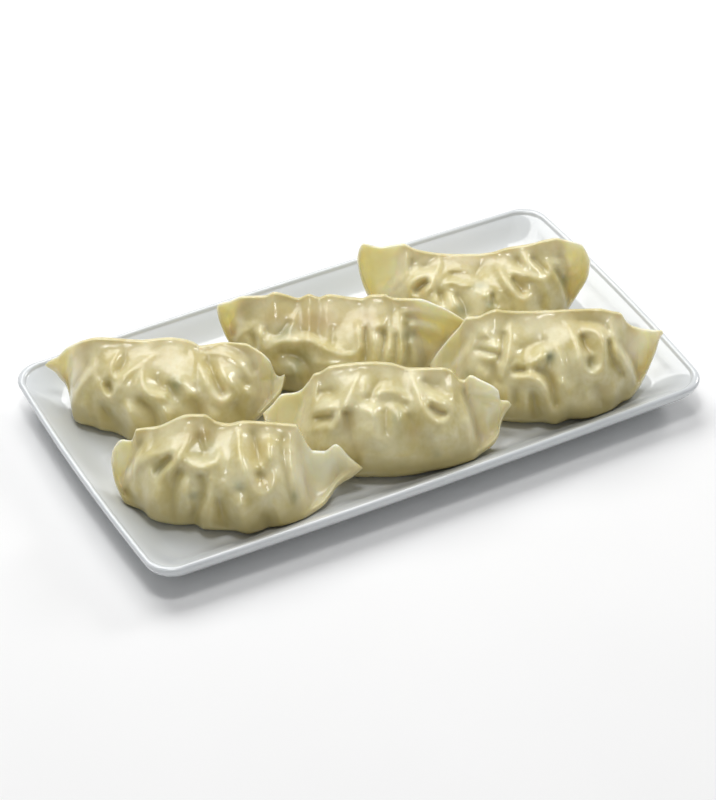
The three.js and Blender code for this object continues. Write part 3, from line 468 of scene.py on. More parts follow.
DUMPLINGS["gyoza_front_right"] = dict(
    at=(60.5, -36), belly=(-35, 31, 5, 0), bulge=10.8,
    seam=[(-45, 11.5), (-42, 16), (-38, 21), (-34, 25.5), (-31.5, 28.8), (-27, 29.3), (-24, 30.7),
          (-21, 31.6), (-18, 31.2), (-12, 31), (5, 31.6), (16, 31.9), (21, 31), (24, 30.3), (26.5, 27.2),
          (29, 25.6), (36, 24.3), (39, 24.1), (39.9, 23)],
    foot=[(-45, 11.5), (-43, 6), (-38, 0.5), (-32, -4), (-25, -7.3), (-18, -8.8), (-10, -9.3), (-5, -9.2),
          (0, -9.9), (3, -9), (6, -8.1), (10, -8.2), (20, -5.5), (25, -2), (28, -0.7), (31, 2.5),
          (33.5, 6.5), (35.5, 11), (37.5, 16.5), (39, 21.5), (39.9, 23)],
    reach=[(-45, 6), (-30, 10), (0, 12), (25, 12), (39.9, 10)],
    lift=[(-45, 9.4), (-38, 3), (-32, 0.8), (27, 0.8), (33, 4), (39.9, 20.8)],
    lines=[
        ([(-28.8, 22.6), (-29.6, 18.8), (-32, 15), (-35.4, 11)], [0.8, 1.2, 1.5, 1.1]),
        ([(-32.4, 20.6), (-34.8, 16.2), (-37.6, 12)], [-1, -2.3, -2.2]),
        ([(-27.8, 21), (-25.4, 22.6), (-23.4, 21)], [1, 1.7, 1.1]),
        ([(-25.4, 18.8), (-22.4, 17.8), (-19.6, 16.8)], [1.4, 1.9, 1.4]),
        ([(-27.4, 14.4), (-24.6, 14), (-21.6, 14.2)], [1.4, 1.9, 1.5]),
        ([(-27.4, 16.8), (-23.6, 15.9), (-20.8, 15.5)], [-0.1, -0.3, -0.1]),
        ([(-22.8, 12), (-21.6, 9), (-21, 5.4)], [-0.4, -1.4, -1.2]),
        ([(-27.4, 10.4), (-25.8, 7)], [1.3, 1.2]),
        ([(-15.6, 27), (-16, 21.6), (-17, 16), (-18.2, 11), (-19.4, 6.6)], [0.7, 1.6, 2.1, 2.2, 1.7]),
        ([(-18, 22.6), (-19, 17.4), (-20.2, 12.8)], [-0.9, -1.5, -1.7]),
        ([(-15.4, 6.2), (-12, 7), (-9, 6.6), (-6, 4.6), (-4, 1.6), (-2.8, -2), (-2.2, -6)],
         [1.8, 2.3, 2.7, 2.7, 2.4, 2.2, 1.5]),
        ([(-14.6, 2), (-14.2, -2)], [-0.7, -0.9]),
        ([(-8.6, 1.4), (-7.4, -3), (-6.6, -7)], [-1, -2.3, -2]),
        ([(-17.6, 2.6), (-17.4, -2), (-16.4, -6)], [1.2, 1.4, 0.9]),
        ([(-11.2, 1), (-10.6, -5)], [1.3, 1.2]),
        ([(-6.4, 9.6), (-3.4, 8.2), (-1.9, 5), (-1.1, 1.6), (-0.2, -3)], [-1.4, -2.9, -3.4, -3, -2]),
        ([(-9.8, 11), (-7, 13.2), (-4.2, 14.9)], [1.5, 1.9, 1.6]),
        ([(-16.6, 10.4), (-14, 12.4), (-12, 10.6)], [1.5, 1.5, 1.3]),
        ([(-14.2, 9.6), (-11.2, 9.2)], [-0.6, -0.8]),
        ([(-12, 17), (-8, 19.2), (-4, 20.2)], [-0.3, -0.9, -1.1]),
        ([(-2.7, 14), (-2, 11)], [-1.2, -1.2]),
        ([(0, 18.2), (2, 14), (3, 9)], [1.2, 1.3, 1.2]),
        ([(2, 5.6), (4.6, 2), (6.4, -3)], [1.5, 2, 1.4]),
        ([(10.6, 3), (11.6, -2)], [1.2, 1]),
        ([(3.6, 26.6), (5.4, 23.8), (6.9, 20), (7.8, 16), (8.3, 12.4), (9.8, 9.2), (12.5, 7.6),
          (15.2, 8.4), (16.8, 10.6)],
         [0.8, 2, 2.8, 3.2, 3, 2.6, 2.2, 2, 1.8]),
        ([(9.6, 21.6), (10.5, 18.4), (11, 16.8)], [-0.8, -1.8, -1]),
        ([(12.3, 13), (12.6, 10.8)], [-1.2, -1.2]),
        ([(11.8, 15.2), (13.8, 15.4)], [0.2, 0.6]),
        ([(10.2, 23.8), (13, 24), (15.8, 22.6), (17.2, 19.4), (17.5, 15.6), (17.2, 12)],
         [1.3, 1.9, 2.5, 2.6, 2.1, 1.8]),
        ([(8.4, 27.2), (12, 27), (17, 26.2), (19.4, 23.6)], [-0.5, -0.8, -0.7, -0.5]),
        ([(20.6, 28), (20.8, 22), (21.6, 18), (23.6, 14.6), (26.4, 11), (29, 7), (30.4, 3)],
         [0.7, 1.3, 2, 2.6, 2.6, 2, 1.1]),
        ([(19.4, 20), (19.8, 15), (21.6, 11), (24.4, 8.4)], [-0.8, -1.4, -1.4, -0.9]),
        ([(23.6, 20), (25.8, 16.8), (28.8, 13.4), (31.4, 9)], [-0.5, -1.2, -1.2, -0.8]),
        ([(36.6, 21), (35.6, 17.5), (33.4, 11.8)], [0.8, 1.1, 1]),
        ([(14.6, 4), (16.2, 0.6), (17.6, -3)], [-1.2, -2.2, -1.4]),
        ([(21, 4.4), (22.4, 0)], [1.2, 1]),
    ],
    lumps=[((23.8, 6.4), (1.4, 1.8), 0.6), ((-12.6, 5.6), (2.2, 0.9), 0.3, -10), ((6, 1), (5, 6), 0.5)],
    tints=dict(
        thin=[((-38, 14), (6, 8), 0.9), ((29, 17), (6, 6), 1.0)],
        green=[((-2, 14), (2, 2.6), 0.9), ((12.5, 11.5), (2.4, 3), 0.7), ((-31, 8), (3, 2.4), 0.5)],
        brown=[((8, 26), (18, 5), 0.22), ((11, 18), (2.4, 3), 0.6), ((17, 2), (3.4, 4), 0.6),
               ((-1.5, 6), (1.4, 5), 0.7)]),
)


# ------------------------------------------------------------------------- helpers
def curve(pairs, place):
    """A smooth line through (place, value) pairs that never overshoots them."""
    x, v = np.array(pairs, float).T
    slope = np.diff(v) / np.diff(x)
    before = slope[:-1]
    after = slope[1:]
    same_way = before * after > 0
    inner = np.where(same_way, 2 * before * after / np.where(same_way, before + after, 1.0), 0.0)
    tangent = np.r_[slope[0], inner, slope[-1]]
    at = np.clip(place, x[0], x[-1])
    i = np.clip(np.searchsorted(x, at, side="right") - 1, 0, len(x) - 2)
    width = x[i + 1] - x[i]
    f = (at - x[i]) / width
    g = 1 - f
    line = v[i] * g * g * (1 + 2 * f) + v[i + 1] * f * f * (1 + 2 * g)
    return line + width * f * g * (g * tangent[i] - f * tangent[i + 1])


def smooth(start, end, x):
    """Rises softly from 0 at the start to 1 at the end."""
    q = np.clip((x - start) / (end - start), 0, 1)
    return q * q * (3 - 2 * q)


def smooth_max(a, b, blend):
    """The higher of two heights, with a fillet where they cross."""
    h = np.clip(0.5 + 0.5 * (a - b) / blend, 0, 1)
    return b + (a - b) * h + blend * h * (1 - h)


def round_off(distance, radius):
    """Rises like a quarter circle from 0 at an edge to 1 at the given distance."""
    q = 1 - np.clip(distance / radius, 0, 1)
    return np.sqrt(1 - q * q)


def near(distance, reach):
    """1 at no distance, falling off like a bell over the reach."""
    return np.exp(-((distance / reach) ** 2))


def swelling(off, powers):
    """1 in the middle and 0 at an offset of 1, shaped by a pair of powers."""
    return (1 - off ** powers[0]) ** powers[1]


def blur(grid, steps):
    """Softens a grid with a bell of the given spread in grid steps."""
    reach = max(1, int(3 * steps))
    bell = np.exp(-0.5 * (np.arange(-reach, reach + 1) / steps) ** 2)
    bell /= bell.sum()
    padded = np.pad(grid, reach, mode="edge")
    rows = sum(w * padded[k:k + grid.shape[0], :] for k, w in enumerate(bell))
    return sum(w * rows[:, k:k + grid.shape[1]] for k, w in enumerate(bell))


def flowing(path):
    """Points of a smooth line through the given few."""
    p = np.array(path, float)
    if len(p) < 3:
        return p
    ends = np.vstack([2 * p[0] - p[1], p, 2 * p[-1] - p[-2]])
    line = []
    for i in range(1, len(ends) - 2):
        a, b, c, d = ends[i - 1:i + 3]
        for f in np.arange(0, 1, 1 / CURVE_STEPS):
            line.append(0.5 * (2 * b + (c - a) * f + (2 * a - 5 * b + 4 * c - d) * f * f
                               + (3 * b - a - 3 * c + d) * f ** 3))
    return np.array(line + [p[-1]])


def bell_spot(s, t, centre, radii, turn=0.0):
    """An oval spot on the face, 1 at its centre."""
    a = math.radians(turn)
    x = (s - centre[0]) * math.cos(a) + (t - centre[1]) * math.sin(a)
    y = -(s - centre[0]) * math.sin(a) + (t - centre[1]) * math.cos(a)
    return np.exp(-SPOT_FALL * ((x / radii[0]) ** 2 + (y / radii[1]) ** 2))


# ------------------------------------------------------------- relief of a dumpling
def cell(place, start, count):
    """The cell of the relief's grid that is nearest to each place."""
    return np.clip(np.round((place - start) / RELIEF_STEP).astype(int), 0, count - 1)


def pin_lines(lines, s0, t0, shape):
    """Heights of the crests and creases on the grid, and which of its cells they pin."""
    grid = np.zeros(shape)
    pinned = np.zeros(shape, bool)
    for rising, band, fall in ((True, CREST_BAND, CREST_FALL), (False, CREASE_BAND, CREASE_FALL)):
        total = np.zeros(shape)
        hits = np.zeros(shape)
        for path, heights in lines:
            if (max(heights) > 0) != rising:
                continue
            p = flowing(path)
            lengths = np.hypot(*np.diff(p, axis=0).T)
            along = np.r_[0, np.cumsum(lengths)]
            places = np.arange(0, along[-1], RELIEF_STEP / 3)
            x = np.interp(places, along, p[:, 0])
            y = np.interp(places, along, p[:, 1])
            height = np.interp(places, np.linspace(0, along[-1], len(heights)), heights)
            height = height if rising else CREASE_LIMIT * np.tanh(CREASE_GAIN * height)
            nx = -np.gradient(y, places)
            ny = np.gradient(x, places)
            for aside in band:
                cells = cell(x + aside * nx, s0, shape[0]), cell(y + aside * ny, t0, shape[1])
                np.add.at(total, cells, height - fall * aside * aside)
                np.add.at(hits, cells, 1)
        grid = np.where(hits > 0, total / np.maximum(hits, 1), grid)
        pinned |= hits > 0
    return grid, pinned


def by_fours(grid):
    """Sums of each two by two cells."""
    return grid[::2, ::2] + grid[1::2, ::2] + grid[::2, 1::2] + grid[1::2, 1::2]


def hang(heights, pinned, step):
    """The skin between pinned cells settles to the mean of its neighbours, and sinks slowly."""
    rows, columns = heights.shape
    if min(rows, columns) > COARSEST:
        even = ((0, rows % 2), (0, columns % 2))
        count = by_fours(np.pad(pinned.astype(float), even))
        total = by_fours(np.pad(heights * pinned, even))
        coarse = hang(total / np.maximum(count, 1), count > 0, step * 2)
        start = np.repeat(np.repeat(coarse, 2, 0), 2, 1)[:rows, :columns]
    else:
        start = np.zeros(heights.shape)
    skin = np.where(pinned, heights, start)
    lift = PUFF * (step / SINK_REACH) ** 2
    sink = 4 + (step / SINK_REACH) ** 2
    for _ in range(SETTLING_ROUNDS):
        wide = np.pad(skin, 1)
        mean = (wide[:-2, 1:-1] + wide[2:, 1:-1] + wide[1:-1, :-2] + wide[1:-1, 2:] + lift) / sink
        skin = np.where(pinned, heights, mean)
    return skin


class Sheet:
    """Values on an even grid over a dumpling's face, read back at any place."""

    def __init__(self, values, s0, t0):
        self.values = values
        self.origin = (s0, t0)

    def at(self, s, t):
        v = self.values
        x = np.clip((s - self.origin[0]) / RELIEF_STEP, 0, v.shape[0] - LAST_CELL)
        y = np.clip((t - self.origin[1]) / RELIEF_STEP, 0, v.shape[1] - LAST_CELL)
        i = x.astype(int)
        j = y.astype(int)
        fx = x - i
        fy = y - j
        low = v[i, j] * (1 - fx) + v[i + 1, j] * fx
        high = v[i, j + 1] * (1 - fx) + v[i + 1, j + 1] * fx
        return low * (1 - fy) + high * fy


def relief_sheets(spec, seed):
    """The softened relief of one dumpling, how sunken each place is for the painted crease shade, and the
    dents of its back.
    """
    s0 = spec["seam"][0][0] - MARGIN
    s1 = spec["seam"][-1][0] + MARGIN
    s, t = np.meshgrid(np.arange(s0, s1, RELIEF_STEP), np.arange(LOWEST, HIGHEST, RELIEF_STEP),
                       indexing="ij")
    heights, pinned = pin_lines(spec["lines"], s0, LOWEST, s.shape)
    skin = hang(heights, pinned, RELIEF_STEP)
    broad = blur(skin, CREST_SOFTNESS / RELIEF_STEP)
    sharp = blur(skin, CREASE_SOFTNESS / RELIEF_STEP)
    height = RELIEF_GAIN * -smooth_max(-broad, -sharp, SOFT_BLEND)
    for centre, radii, rise, *turn in spec["lumps"]:
        height += rise * bell_spot(s, t, centre, radii, *turn)
    dents = np.zeros(s.shape)
    chance = np.random.default_rng(seed)
    for grid, waves in ((height, RIPPLES), (dents, DENTS)):
        for size, rise in waves:
            wave = blur(chance.standard_normal(s.shape), size / RELIEF_STEP)
            grid += rise * wave / wave.std()
    # How sunken each place lies; it only sets the painted shade in creases.
    hollow_shade = blur(height, HOLLOW_REACH / RELIEF_STEP) - blur(height, HOLLOW_DETAIL / RELIEF_STEP)
    return [Sheet(values, s0, LOWEST) for values in (height, hollow_shade, dents)]


# --------------------------------------------------------------- shape of the plate
def bowing(u, v):
    """How much longer and wider the plate is than a plain rectangle, at shares of its half sizes."""
    return 1 + END_BOW / HALF_LENGTH * (1 - v * v), 1 + SIDE_BOW / HALF_WIDTH * (1 - u * u)


def upper_face(inset):
    """Height of the rim, the inner wall and the floor at a distance in from the rim's edge."""
    half = RIM_ROLL / 2
    crown = PLATE_HEIGHT - RIM_DROP * (1 - round_off(half - np.abs(inset - half), half))
    crown = crown - CROWN_FALL * np.clip(inset - RIM_ROLL, 0, None)
    wall = 1 - smooth(half, WALL_FOOT, inset) ** WALL_EASE
    slope = FLOOR_HEIGHT + (PLATE_HEIGHT - WALL_START - FLOOR_HEIGHT) * wall
    return np.where(inset < half, crown, smooth_max(slope, crown, WALL_BLEND))


def plate_top(x, y):
    """Height of the plate's upper face under a point, in mm."""
    longer, wider = bowing(np.clip(x / HALF_LENGTH, -1, 1), np.clip(y / HALF_WIDTH, -1, 1))
    return upper_face(np.minimum(HALF_LENGTH - np.abs(x) / longer, HALF_WIDTH - np.abs(y) / wider))


def plate_outline(half_length, half_width):
    """Corners of the rounded rectangle at the rim, in order, counter-clockwise."""
    a = half_length - CORNER_RADIUS
    b = half_width - CORNER_RADIUS
    corners = [(a, b), (-a, b), (-a, -b), (a, -b)]
    outline = []
    for c, (cx, cy) in enumerate(corners):
        for i in range(CORNER_STEPS + 1):
            angle = (c + i / CORNER_STEPS) * math.pi / 2
            outline.append((cx + CORNER_RADIUS * math.cos(angle), cy + CORNER_RADIUS * math.sin(angle)))
        nx, ny = corners[(c + 1) % 4]
        steps = LONG_STEPS if c % 2 == 0 else SHORT_STEPS
        turn = (c + 1) * math.pi / 2
        for i in range(1, steps):
            f = i / steps
            outline.append((cx + (nx - cx) * f + CORNER_RADIUS * math.cos(turn),
                            cy + (ny - cy) * f + CORNER_RADIUS * math.sin(turn)))
    return outline


def make_plate(settings, material):
    """One flat face grows ring by ring into the plate, from under its foot to its floor."""
    half_length = settings.half_length / MM
    half_width = settings.half_width / MM
    outline = plate_outline(half_length, half_width)
    profile = OUTSIDE_PROFILE + [(inset, float(upper_face(np.float64(inset)))) for inset in INSIDE_INSETS]
    # A ring is its share of the full length, its share of the full width, and its height.
    rings = [(1 - inset / half_length, 1 - inset / half_width, height) for inset, height in profile]
    bpy.ops.mesh.primitive_circle_add(vertices=len(outline), radius=1.0, fill_type="NGON")
    piece = bpy.context.object
    piece.name = "porcelain_plate"
    mesh = piece.data
    first = rings[0]
    for vertex, (x, y) in zip(mesh.vertices, outline):
        vertex.co = (x * first[0] * MM, y * first[1] * MM, first[2] * MM)
    select_only(piece)
    bpy.ops.object.mode_set(mode="EDIT")
    bpy.ops.mesh.select_all(action="SELECT")
    for before, after in zip(rings, rings[1:]):
        bpy.ops.mesh.extrude_region_move(
            TRANSFORM_OT_translate={"value": (0, 0, (after[2] - before[2]) * MM)})
        bpy.ops.transform.resize(
            value=(after[0] / before[0], after[1] / before[1], 1), center_override=(0, 0, 0))
    bpy.ops.mesh.select_all(action="SELECT")
    bpy.ops.mesh.normals_make_consistent(inside=False)
    bpy.ops.object.mode_set(mode="OBJECT")
    for vertex in mesh.vertices:
        longer, wider = bowing(vertex.co.x / (HALF_LENGTH * MM), vertex.co.y / (HALF_WIDTH * MM))
        vertex.co.x *= longer
        vertex.co.y *= wider
    bpy.ops.object.shade_smooth()
    while mesh.uv_layers:
        mesh.uv_layers.remove(mesh.uv_layers[0])
    mesh.materials.append(material)
    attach(piece, "root")
    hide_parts("plate")


# --------------------------------------------------------------- shape of a dumpling
def rear_of(stand, share, bowed):
    """How far back the filling swells at a share of the seam's height."""
    below = np.clip(REAR_CREST - share, 0, None) / REAR_CREST
    above = np.clip(share - REAR_CREST, 0, None) / (1 - REAR_CREST)
    low = 1 - REAR_LOW[0] * below ** REAR_LOW[1]
    high = 1 - REAR_HIGH[0] * above ** REAR_HIGH[1]
    return stand - REAR_START + (REAR_START + REAR_BULGE) * bowed * np.minimum(low, high)


def height_behind(t, stand, tall, bowed):
    """Height at which the rounded back crosses the line out of the face at t, by halving."""
    low = np.zeros(np.shape(t))
    high = tall.copy()
    for _ in range(HALVINGS):
        middle = (low + high) / 2
        over = COS * middle + SIN * rear_of(stand, middle / tall, bowed) > t
        high = np.where(over, middle, high)
        low = np.where(over, low, middle)
    return low


def depths(spec, pleats, dents, s, along):
    """Face height t, and depth of the front and of the back, at s and a share of the height."""
    top = curve(spec["seam"], s)
    foot = curve(spec["foot"], s)
    span = np.maximum(top - foot, LEAST_SPAN)
    t = foot + along * span
    stand = curve(spec["reach"], s)
    top_depth = (SIN * top - stand) / COS
    foot_depth = (curve(spec["lift"], s) - COS * foot) / SIN

    left, right, left_slant, right_slant = spec["belly"]
    left = left + left_slant * (along - 0.5)
    right = right + right_slant * (along - 0.5)
    into_left = smooth(left - WING_OUT, left + WING_IN, s)
    empty = 1 - into_left * (1 - smooth(right - WING_IN, right + WING_OUT, s))
    off = np.clip(np.abs((2 * s - left - right) / (right - left)), 0, 1)

    from_top = (1 - along) * span
    from_foot = along * span
    from_ends = np.minimum(s - spec["seam"][0][0], spec["seam"][-1][0] - s)
    edge = round_off(np.minimum(from_top, from_foot), DOUGH) * round_off(from_ends, TIP_ROUND)

    neck = np.clip(1 - FLANGE / span, *NECK_RANGE)
    below = np.clip((BELLY_CREST - along) / BELLY_CREST, 0, 1)
    above = np.clip((along - BELLY_CREST) / (neck - BELLY_CREST), 0, 1)
    swell = swelling(below, BELLY_LOW) * swelling(above, BELLY_HIGH)
    belly = spec["bulge"] * swelling(off, BELLY_ALONG) * swell

    trough = WING_TROUGH * np.sin(math.pi * along ** TROUGH_SKEW) * empty
    middle = foot_depth + (top_depth - foot_depth) * along - trough * np.clip(span / TROUGH_SPAN, 0, 1) ** 2
    bead = LIP * near(from_foot - LIP_HEIGHT, LIP_WIDTH) * empty * np.clip(span / LIP_SPAN, 0, 1) ** 2
    pressed = pleats.at(s, t) * np.clip(span / RELIEF_SPAN, 0, 1)
    for distance, fade in ((from_foot, RELIEF_FOOT), (from_top, DOUGH), (from_ends, RELIEF_TIP)):
        pressed = pressed * round_off(distance, fade)
    front = middle + edge * (DOUGH + bead) + belly + pressed

    bowed = swelling(off, REAR_ALONG)
    tall = np.maximum((top - SIN * stand) / COS, LEAST_HEIGHT)
    height = height_behind(t, stand, tall, bowed)
    rear = rear_of(stand, height / tall, bowed) + dents.at(s, t) * round_off(from_top, DENT_EDGE)
    wall = (SIN * t - rear) / COS
    hanging = -smooth_max(-(middle - DOUGH * edge), -wall, BACK_FILLET)
    resting = -COS * t / SIN
    behind = np.minimum(smooth_max(resting, hanging, FOOT_FILLET), front - LEAST_DOUGH * edge)
    back = foot_depth + (behind - foot_depth) * round_off(from_foot, FOOT_ROUND)
    return t, front, back, empty, from_top, from_foot


def face_points(spec, s, t, depth):
    """Turns places on the face and their depth into points, in mm, above the plate."""
    back = SIN * t - COS * depth
    x = spec["at"][0] + s * math.cos(ROW_TURN) - back * math.sin(ROW_TURN)
    y = spec["at"][1] + s * math.sin(ROW_TURN) + back * math.cos(ROW_TURN)
    z = FLOOR_HEIGHT + COS * t + SIN * depth
    return np.stack([x, y, np.maximum(z, plate_top(x, y) + SEAT_GAP)], -1)


def spaced(even, ease):
    """Even steps from 0 to 1, drawn closer together at both ends."""
    return (1 - ease) * even + ease * (0.5 - 0.5 * np.cos(math.pi * even))


def fading(tint, distance):
    """A tint's strength at a distance from its edge."""
    strength, reach = tint
    return strength * near(distance, reach)


def tint_strengths(spec, s, t, hollow_shade, empty, from_top, from_foot, front_side):
    """How thin, green and brown the skin looks at each point, and how much painted shade it gets."""
    kinds = {
        "thin": THIN_WING * empty * (1 - fading(THICK_FOOT, from_foot)) + fading(THIN_SEAM, from_top),
        "green": np.zeros(np.shape(s)),
        "brown": np.zeros(np.shape(s)),
    }
    for kind, spots in spec["tints"].items():
        for centre, radii, strength, *turn in spots:
            kinds[kind] += strength * bell_spot(s, t, centre, radii, *turn) * front_side
    # Painted shade in creases and along the foot, less on the empty wings; the same colour also darkens a
    # band towards the seam.
    crease_shade = np.clip(hollow_shade.at(s, t) * HOLLOW_SHADE_GAIN, 0, HOLLOW_SHADE_LIMIT) * (1 - WING_UNSHADED * empty)
    under = fading(SHADED_FOOT, from_foot) * (1 - WING_FOOT_UNSHADED * empty)
    golden = fading(GOLDEN_SEAM, from_top) * (1 - empty)
    return np.clip([*kinds.values(), crease_shade * front_side + under + golden], 0, 1)


def make_dumpling(name, spec, seed, material):
    """A flat sheet is wrapped round the filling and closed at the foot and at both tips."""
    rows = FRONT_ROWS + BACK_ROWS
    bpy.ops.mesh.primitive_grid_add(x_subdivisions=COLUMNS, y_subdivisions=rows, size=1.0, calc_uvs=False)
    piece = bpy.context.object
    piece.name = "boiled_" + name
    mesh = piece.data
    flat = np.empty(len(mesh.vertices) * 3)
    mesh.vertices.foreach_get("co", flat)
    flat = flat.reshape(-1, 3)

    share = np.round((flat[:, 0] + 0.5) * COLUMNS) / COLUMNS
    turn = np.round((flat[:, 1] + 0.5) * rows)
    start = spec["seam"][0][0]
    end = spec["seam"][-1][0]
    s = start + (end - start) * spaced(share, COLUMN_EASE)
    on_front = turn < FRONT_ROWS
    climb = spaced(np.where(on_front, turn / FRONT_ROWS, (rows - turn) / BACK_ROWS), ROW_EASE)
    pleats, hollow_shade, dents = relief_sheets(spec, seed)
    t, front, back, *places = depths(spec, pleats, dents, s, climb)
    points = face_points(spec, s, t, np.where(on_front, front, back))
    for tip in (0.0, 1.0):
        at_tip = share == tip
        points[at_tip] = points[at_tip].mean(0)
    foot_line = ((turn == 0) | (turn == rows)) & (share > 0) & (share < 1)
    t_foot, front_foot, back_foot = depths(spec, pleats, dents, s, np.zeros_like(s))[:3]
    closed = face_points(spec, s, t_foot, (front_foot + back_foot) / 2)
    points[foot_line] = closed[foot_line]

    mesh.vertices.foreach_set("co", (points * MM).ravel())
    strengths = tint_strengths(spec, s, t, hollow_shade, *places, on_front * 1.0)
    for tint, values in zip(TINTS, strengths):
        layer = mesh.attributes.new(tint, "FLOAT", "POINT")
        layer.data.foreach_set("value", values.astype(np.float32))
    mesh.update()
    select_only(piece)
    bpy.ops.object.mode_set(mode="EDIT")
    bpy.ops.mesh.select_all(action="SELECT")
    bpy.ops.mesh.remove_doubles(threshold=CLOSING)
    bpy.ops.mesh.normals_make_consistent(inside=False)
    bpy.ops.object.mode_set(mode="OBJECT")
    bpy.ops.object.shade_smooth()
    mesh.materials.append(material)
    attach(piece, "root")
    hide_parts(name)


def select_only(piece=None):
    if bpy.context.object and bpy.context.object.mode != "OBJECT":
        bpy.ops.object.mode_set(mode="OBJECT")
    bpy.ops.object.select_all(action="DESELECT")
    if piece is not None:
        piece.select_set(True)
        bpy.context.view_layer.objects.active = piece


# ----------------------------------------------------------------------- materials
def solid(colour, shift=(1, 1, 1)):
    """An opaque colour, each channel times its own shift."""
    return tuple(c * k for c, k in zip(colour, shift)) + (1.0,)


class Nodes:
    """Short calls to build a material's node tree."""

    def __init__(self, name):
        self.material = bpy.data.materials.new(name)
        self.material.use_nodes = True
        self.tree = self.material.node_tree
        self.tree.nodes.clear()
        self.shader = self.add("BsdfPrincipled")
        self.link(self.shader.outputs["BSDF"], self.add("OutputMaterial").inputs["Surface"])
        self.place = self.add("TexCoord").outputs["Object"]

    def add(self, kind, **settings):
        node = self.tree.nodes.new("ShaderNode" + kind)
        for label, value in settings.items():
            setattr(node, label, value)
        return node

    def link(self, output, socket):
        self.tree.links.new(output, socket)

    def put(self, node, values):
        """Gives each named or numbered socket of a node a value or another node's output."""
        for label, value in values.items():
            if isinstance(value, bpy.types.NodeSocket):
                self.link(value, node.inputs[label])
            else:
                node.inputs[label].default_value = value
        return node

    def attribute(self, name):
        return self.add("Attribute", attribute_name=name).outputs["Fac"]

    def noise(self, size, detail=2.0, roughness=0.5):
        """Noise whose blotches are about the given size in metres."""
        node = self.put(self.add("TexNoise"), {
            "Scale": 1.0 / size, "Detail": detail, "Roughness": roughness, "Vector": self.place})
        return node.outputs["Fac"]

    def ramp(self, value, low, high, out_low, out_high):
        node = self.put(self.add("MapRange"), {
            "Value": value, "From Min": low, "From Max": high, "To Min": out_low, "To Max": out_high})
        return node.outputs["Result"]

    def blotches(self, size, least, most, band=(0.3, 0.7), **kind):
        """Blotches of the given size in metres, between a least and a most value."""
        return self.ramp(self.noise(size, **kind), *band, least, most)

    def math(self, operation, a, b):
        return self.put(self.add("Math", operation=operation), {0: a, 1: b}).outputs[0]

    def mix(self, share, a, b):
        return self.put(self.add("Mix", data_type="RGBA"), {0: share, 6: a, 7: b}).outputs[2]

    def bump(self, height, distance):
        node = self.put(self.add("Bump"), {"Distance": distance, "Strength": 1.0, "Height": height})
        self.link(node.outputs["Normal"], self.shader.inputs["Normal"])

    def set(self, **values):
        self.put(self.shader, {label.replace("_", " "): value for label, value in values.items()})


def porcelain_material(settings):
    """White glazed porcelain: faint cool cast, barely uneven glaze."""
    m = Nodes("glazed_porcelain")
    white = settings.porcelain_colour
    cast = m.blotches(0.05, 0.0, 1.0, (0.35, 0.65), detail=1.0)
    m.set(Base_Color=m.mix(cast, solid(white), solid(white, (0.965, 0.98, 0.985))))
    m.set(Roughness=m.blotches(0.02, 0.10, 0.16), IOR=1.5, Coat_Weight=0.35, Coat_Roughness=0.05)
    m.bump(m.noise(0.012, detail=1.0), distance=0.00005)
    return m.material


def dough_material(settings):
    """Wet boiled wheat dough: creamy, paler where thin and brightened there as painted glow, with filling
    showing through, browner spots that are partly painted shade, and painted shade in creases and along the
    foot, whose colour also darkens a band towards the seam.
    """
    m = Nodes("wet_boiled_dough")
    thin, green, brown, hollow_shade = (m.attribute(tint) for tint in TINTS)
    mottling = m.blotches(0.011, 0.0, 1.0, (0.36, 0.64), detail=3.0, roughness=0.6)
    colour = m.mix(mottling, solid(settings.dough_colour), solid(settings.dough_pale))
    # Thin adds paler dough with painted glow, brown is partly painted shade over valleys, and the last tint
    # is painted shade.
    for share, tone in (
            (m.math("MULTIPLY", thin, m.blotches(0.014, 0.55, 1.0)), settings.thin_and_glow_colour),
            (m.math("MULTIPLY", brown, 0.75), settings.brown_and_shade_colour),
            (m.math("MULTIPLY", green, m.blotches(0.004, 0.7, 1.1)), settings.green_colour),
            (hollow_shade, settings.painted_shade_colour)):
        colour = m.mix(share, colour, solid(tone))
    m.set(Base_Color=colour, Roughness=m.blotches(0.006, 0.36, 0.55), IOR=1.36)
    m.set(Coat_Weight=0.9, Coat_Roughness=m.blotches(0.004, 0.11, 0.23), Coat_IOR=1.42)
    m.set(Subsurface_Weight=m.math("MAXIMUM", m.math("MULTIPLY", thin, 0.95), settings.translucency))
    m.set(Subsurface_Radius=(1.0, 0.84, 0.50), Subsurface_Scale=m.ramp(thin, 0.0, 1.0, 0.0032, 0.0050))
    m.bump(m.noise(0.0028), distance=0.00012)
    return m.material


def floor_material(colour):
    """Plain matt paint with a hardly visible grain."""
    m = Nodes("pale_floor")
    grain = m.blotches(0.08, 0.0, 1.0)
    m.set(Base_Color=m.mix(grain, solid(colour), solid(colour, (0.985,) * 3)), Roughness=0.85)
    return m.material


# ------------------------------------------------------------------------ settings
def length_of(name, description, size):
    return bpy.props.FloatProperty(name=name, description=description, default=size * MM, unit="LENGTH")


def colour_of(name, description, default):
    return bpy.props.FloatVectorProperty(
        name=name, description=description, default=default, subtype="COLOR", size=3, min=0, max=1)


def power_of(name, description, default):
    return bpy.props.FloatProperty(name=name, description=description, default=default, unit="POWER")


class PlateSettings(bpy.types.PropertyGroup):
    half_length: length_of("Half length", "Middle of the plate to the corners of a short side", HALF_LENGTH)
    half_width: length_of("Half width", "Middle of the plate to the corners of a long side", HALF_WIDTH)
    porcelain_colour: colour_of("Porcelain", "Colour of the glazed porcelain", (0.715, 0.735, 0.75))


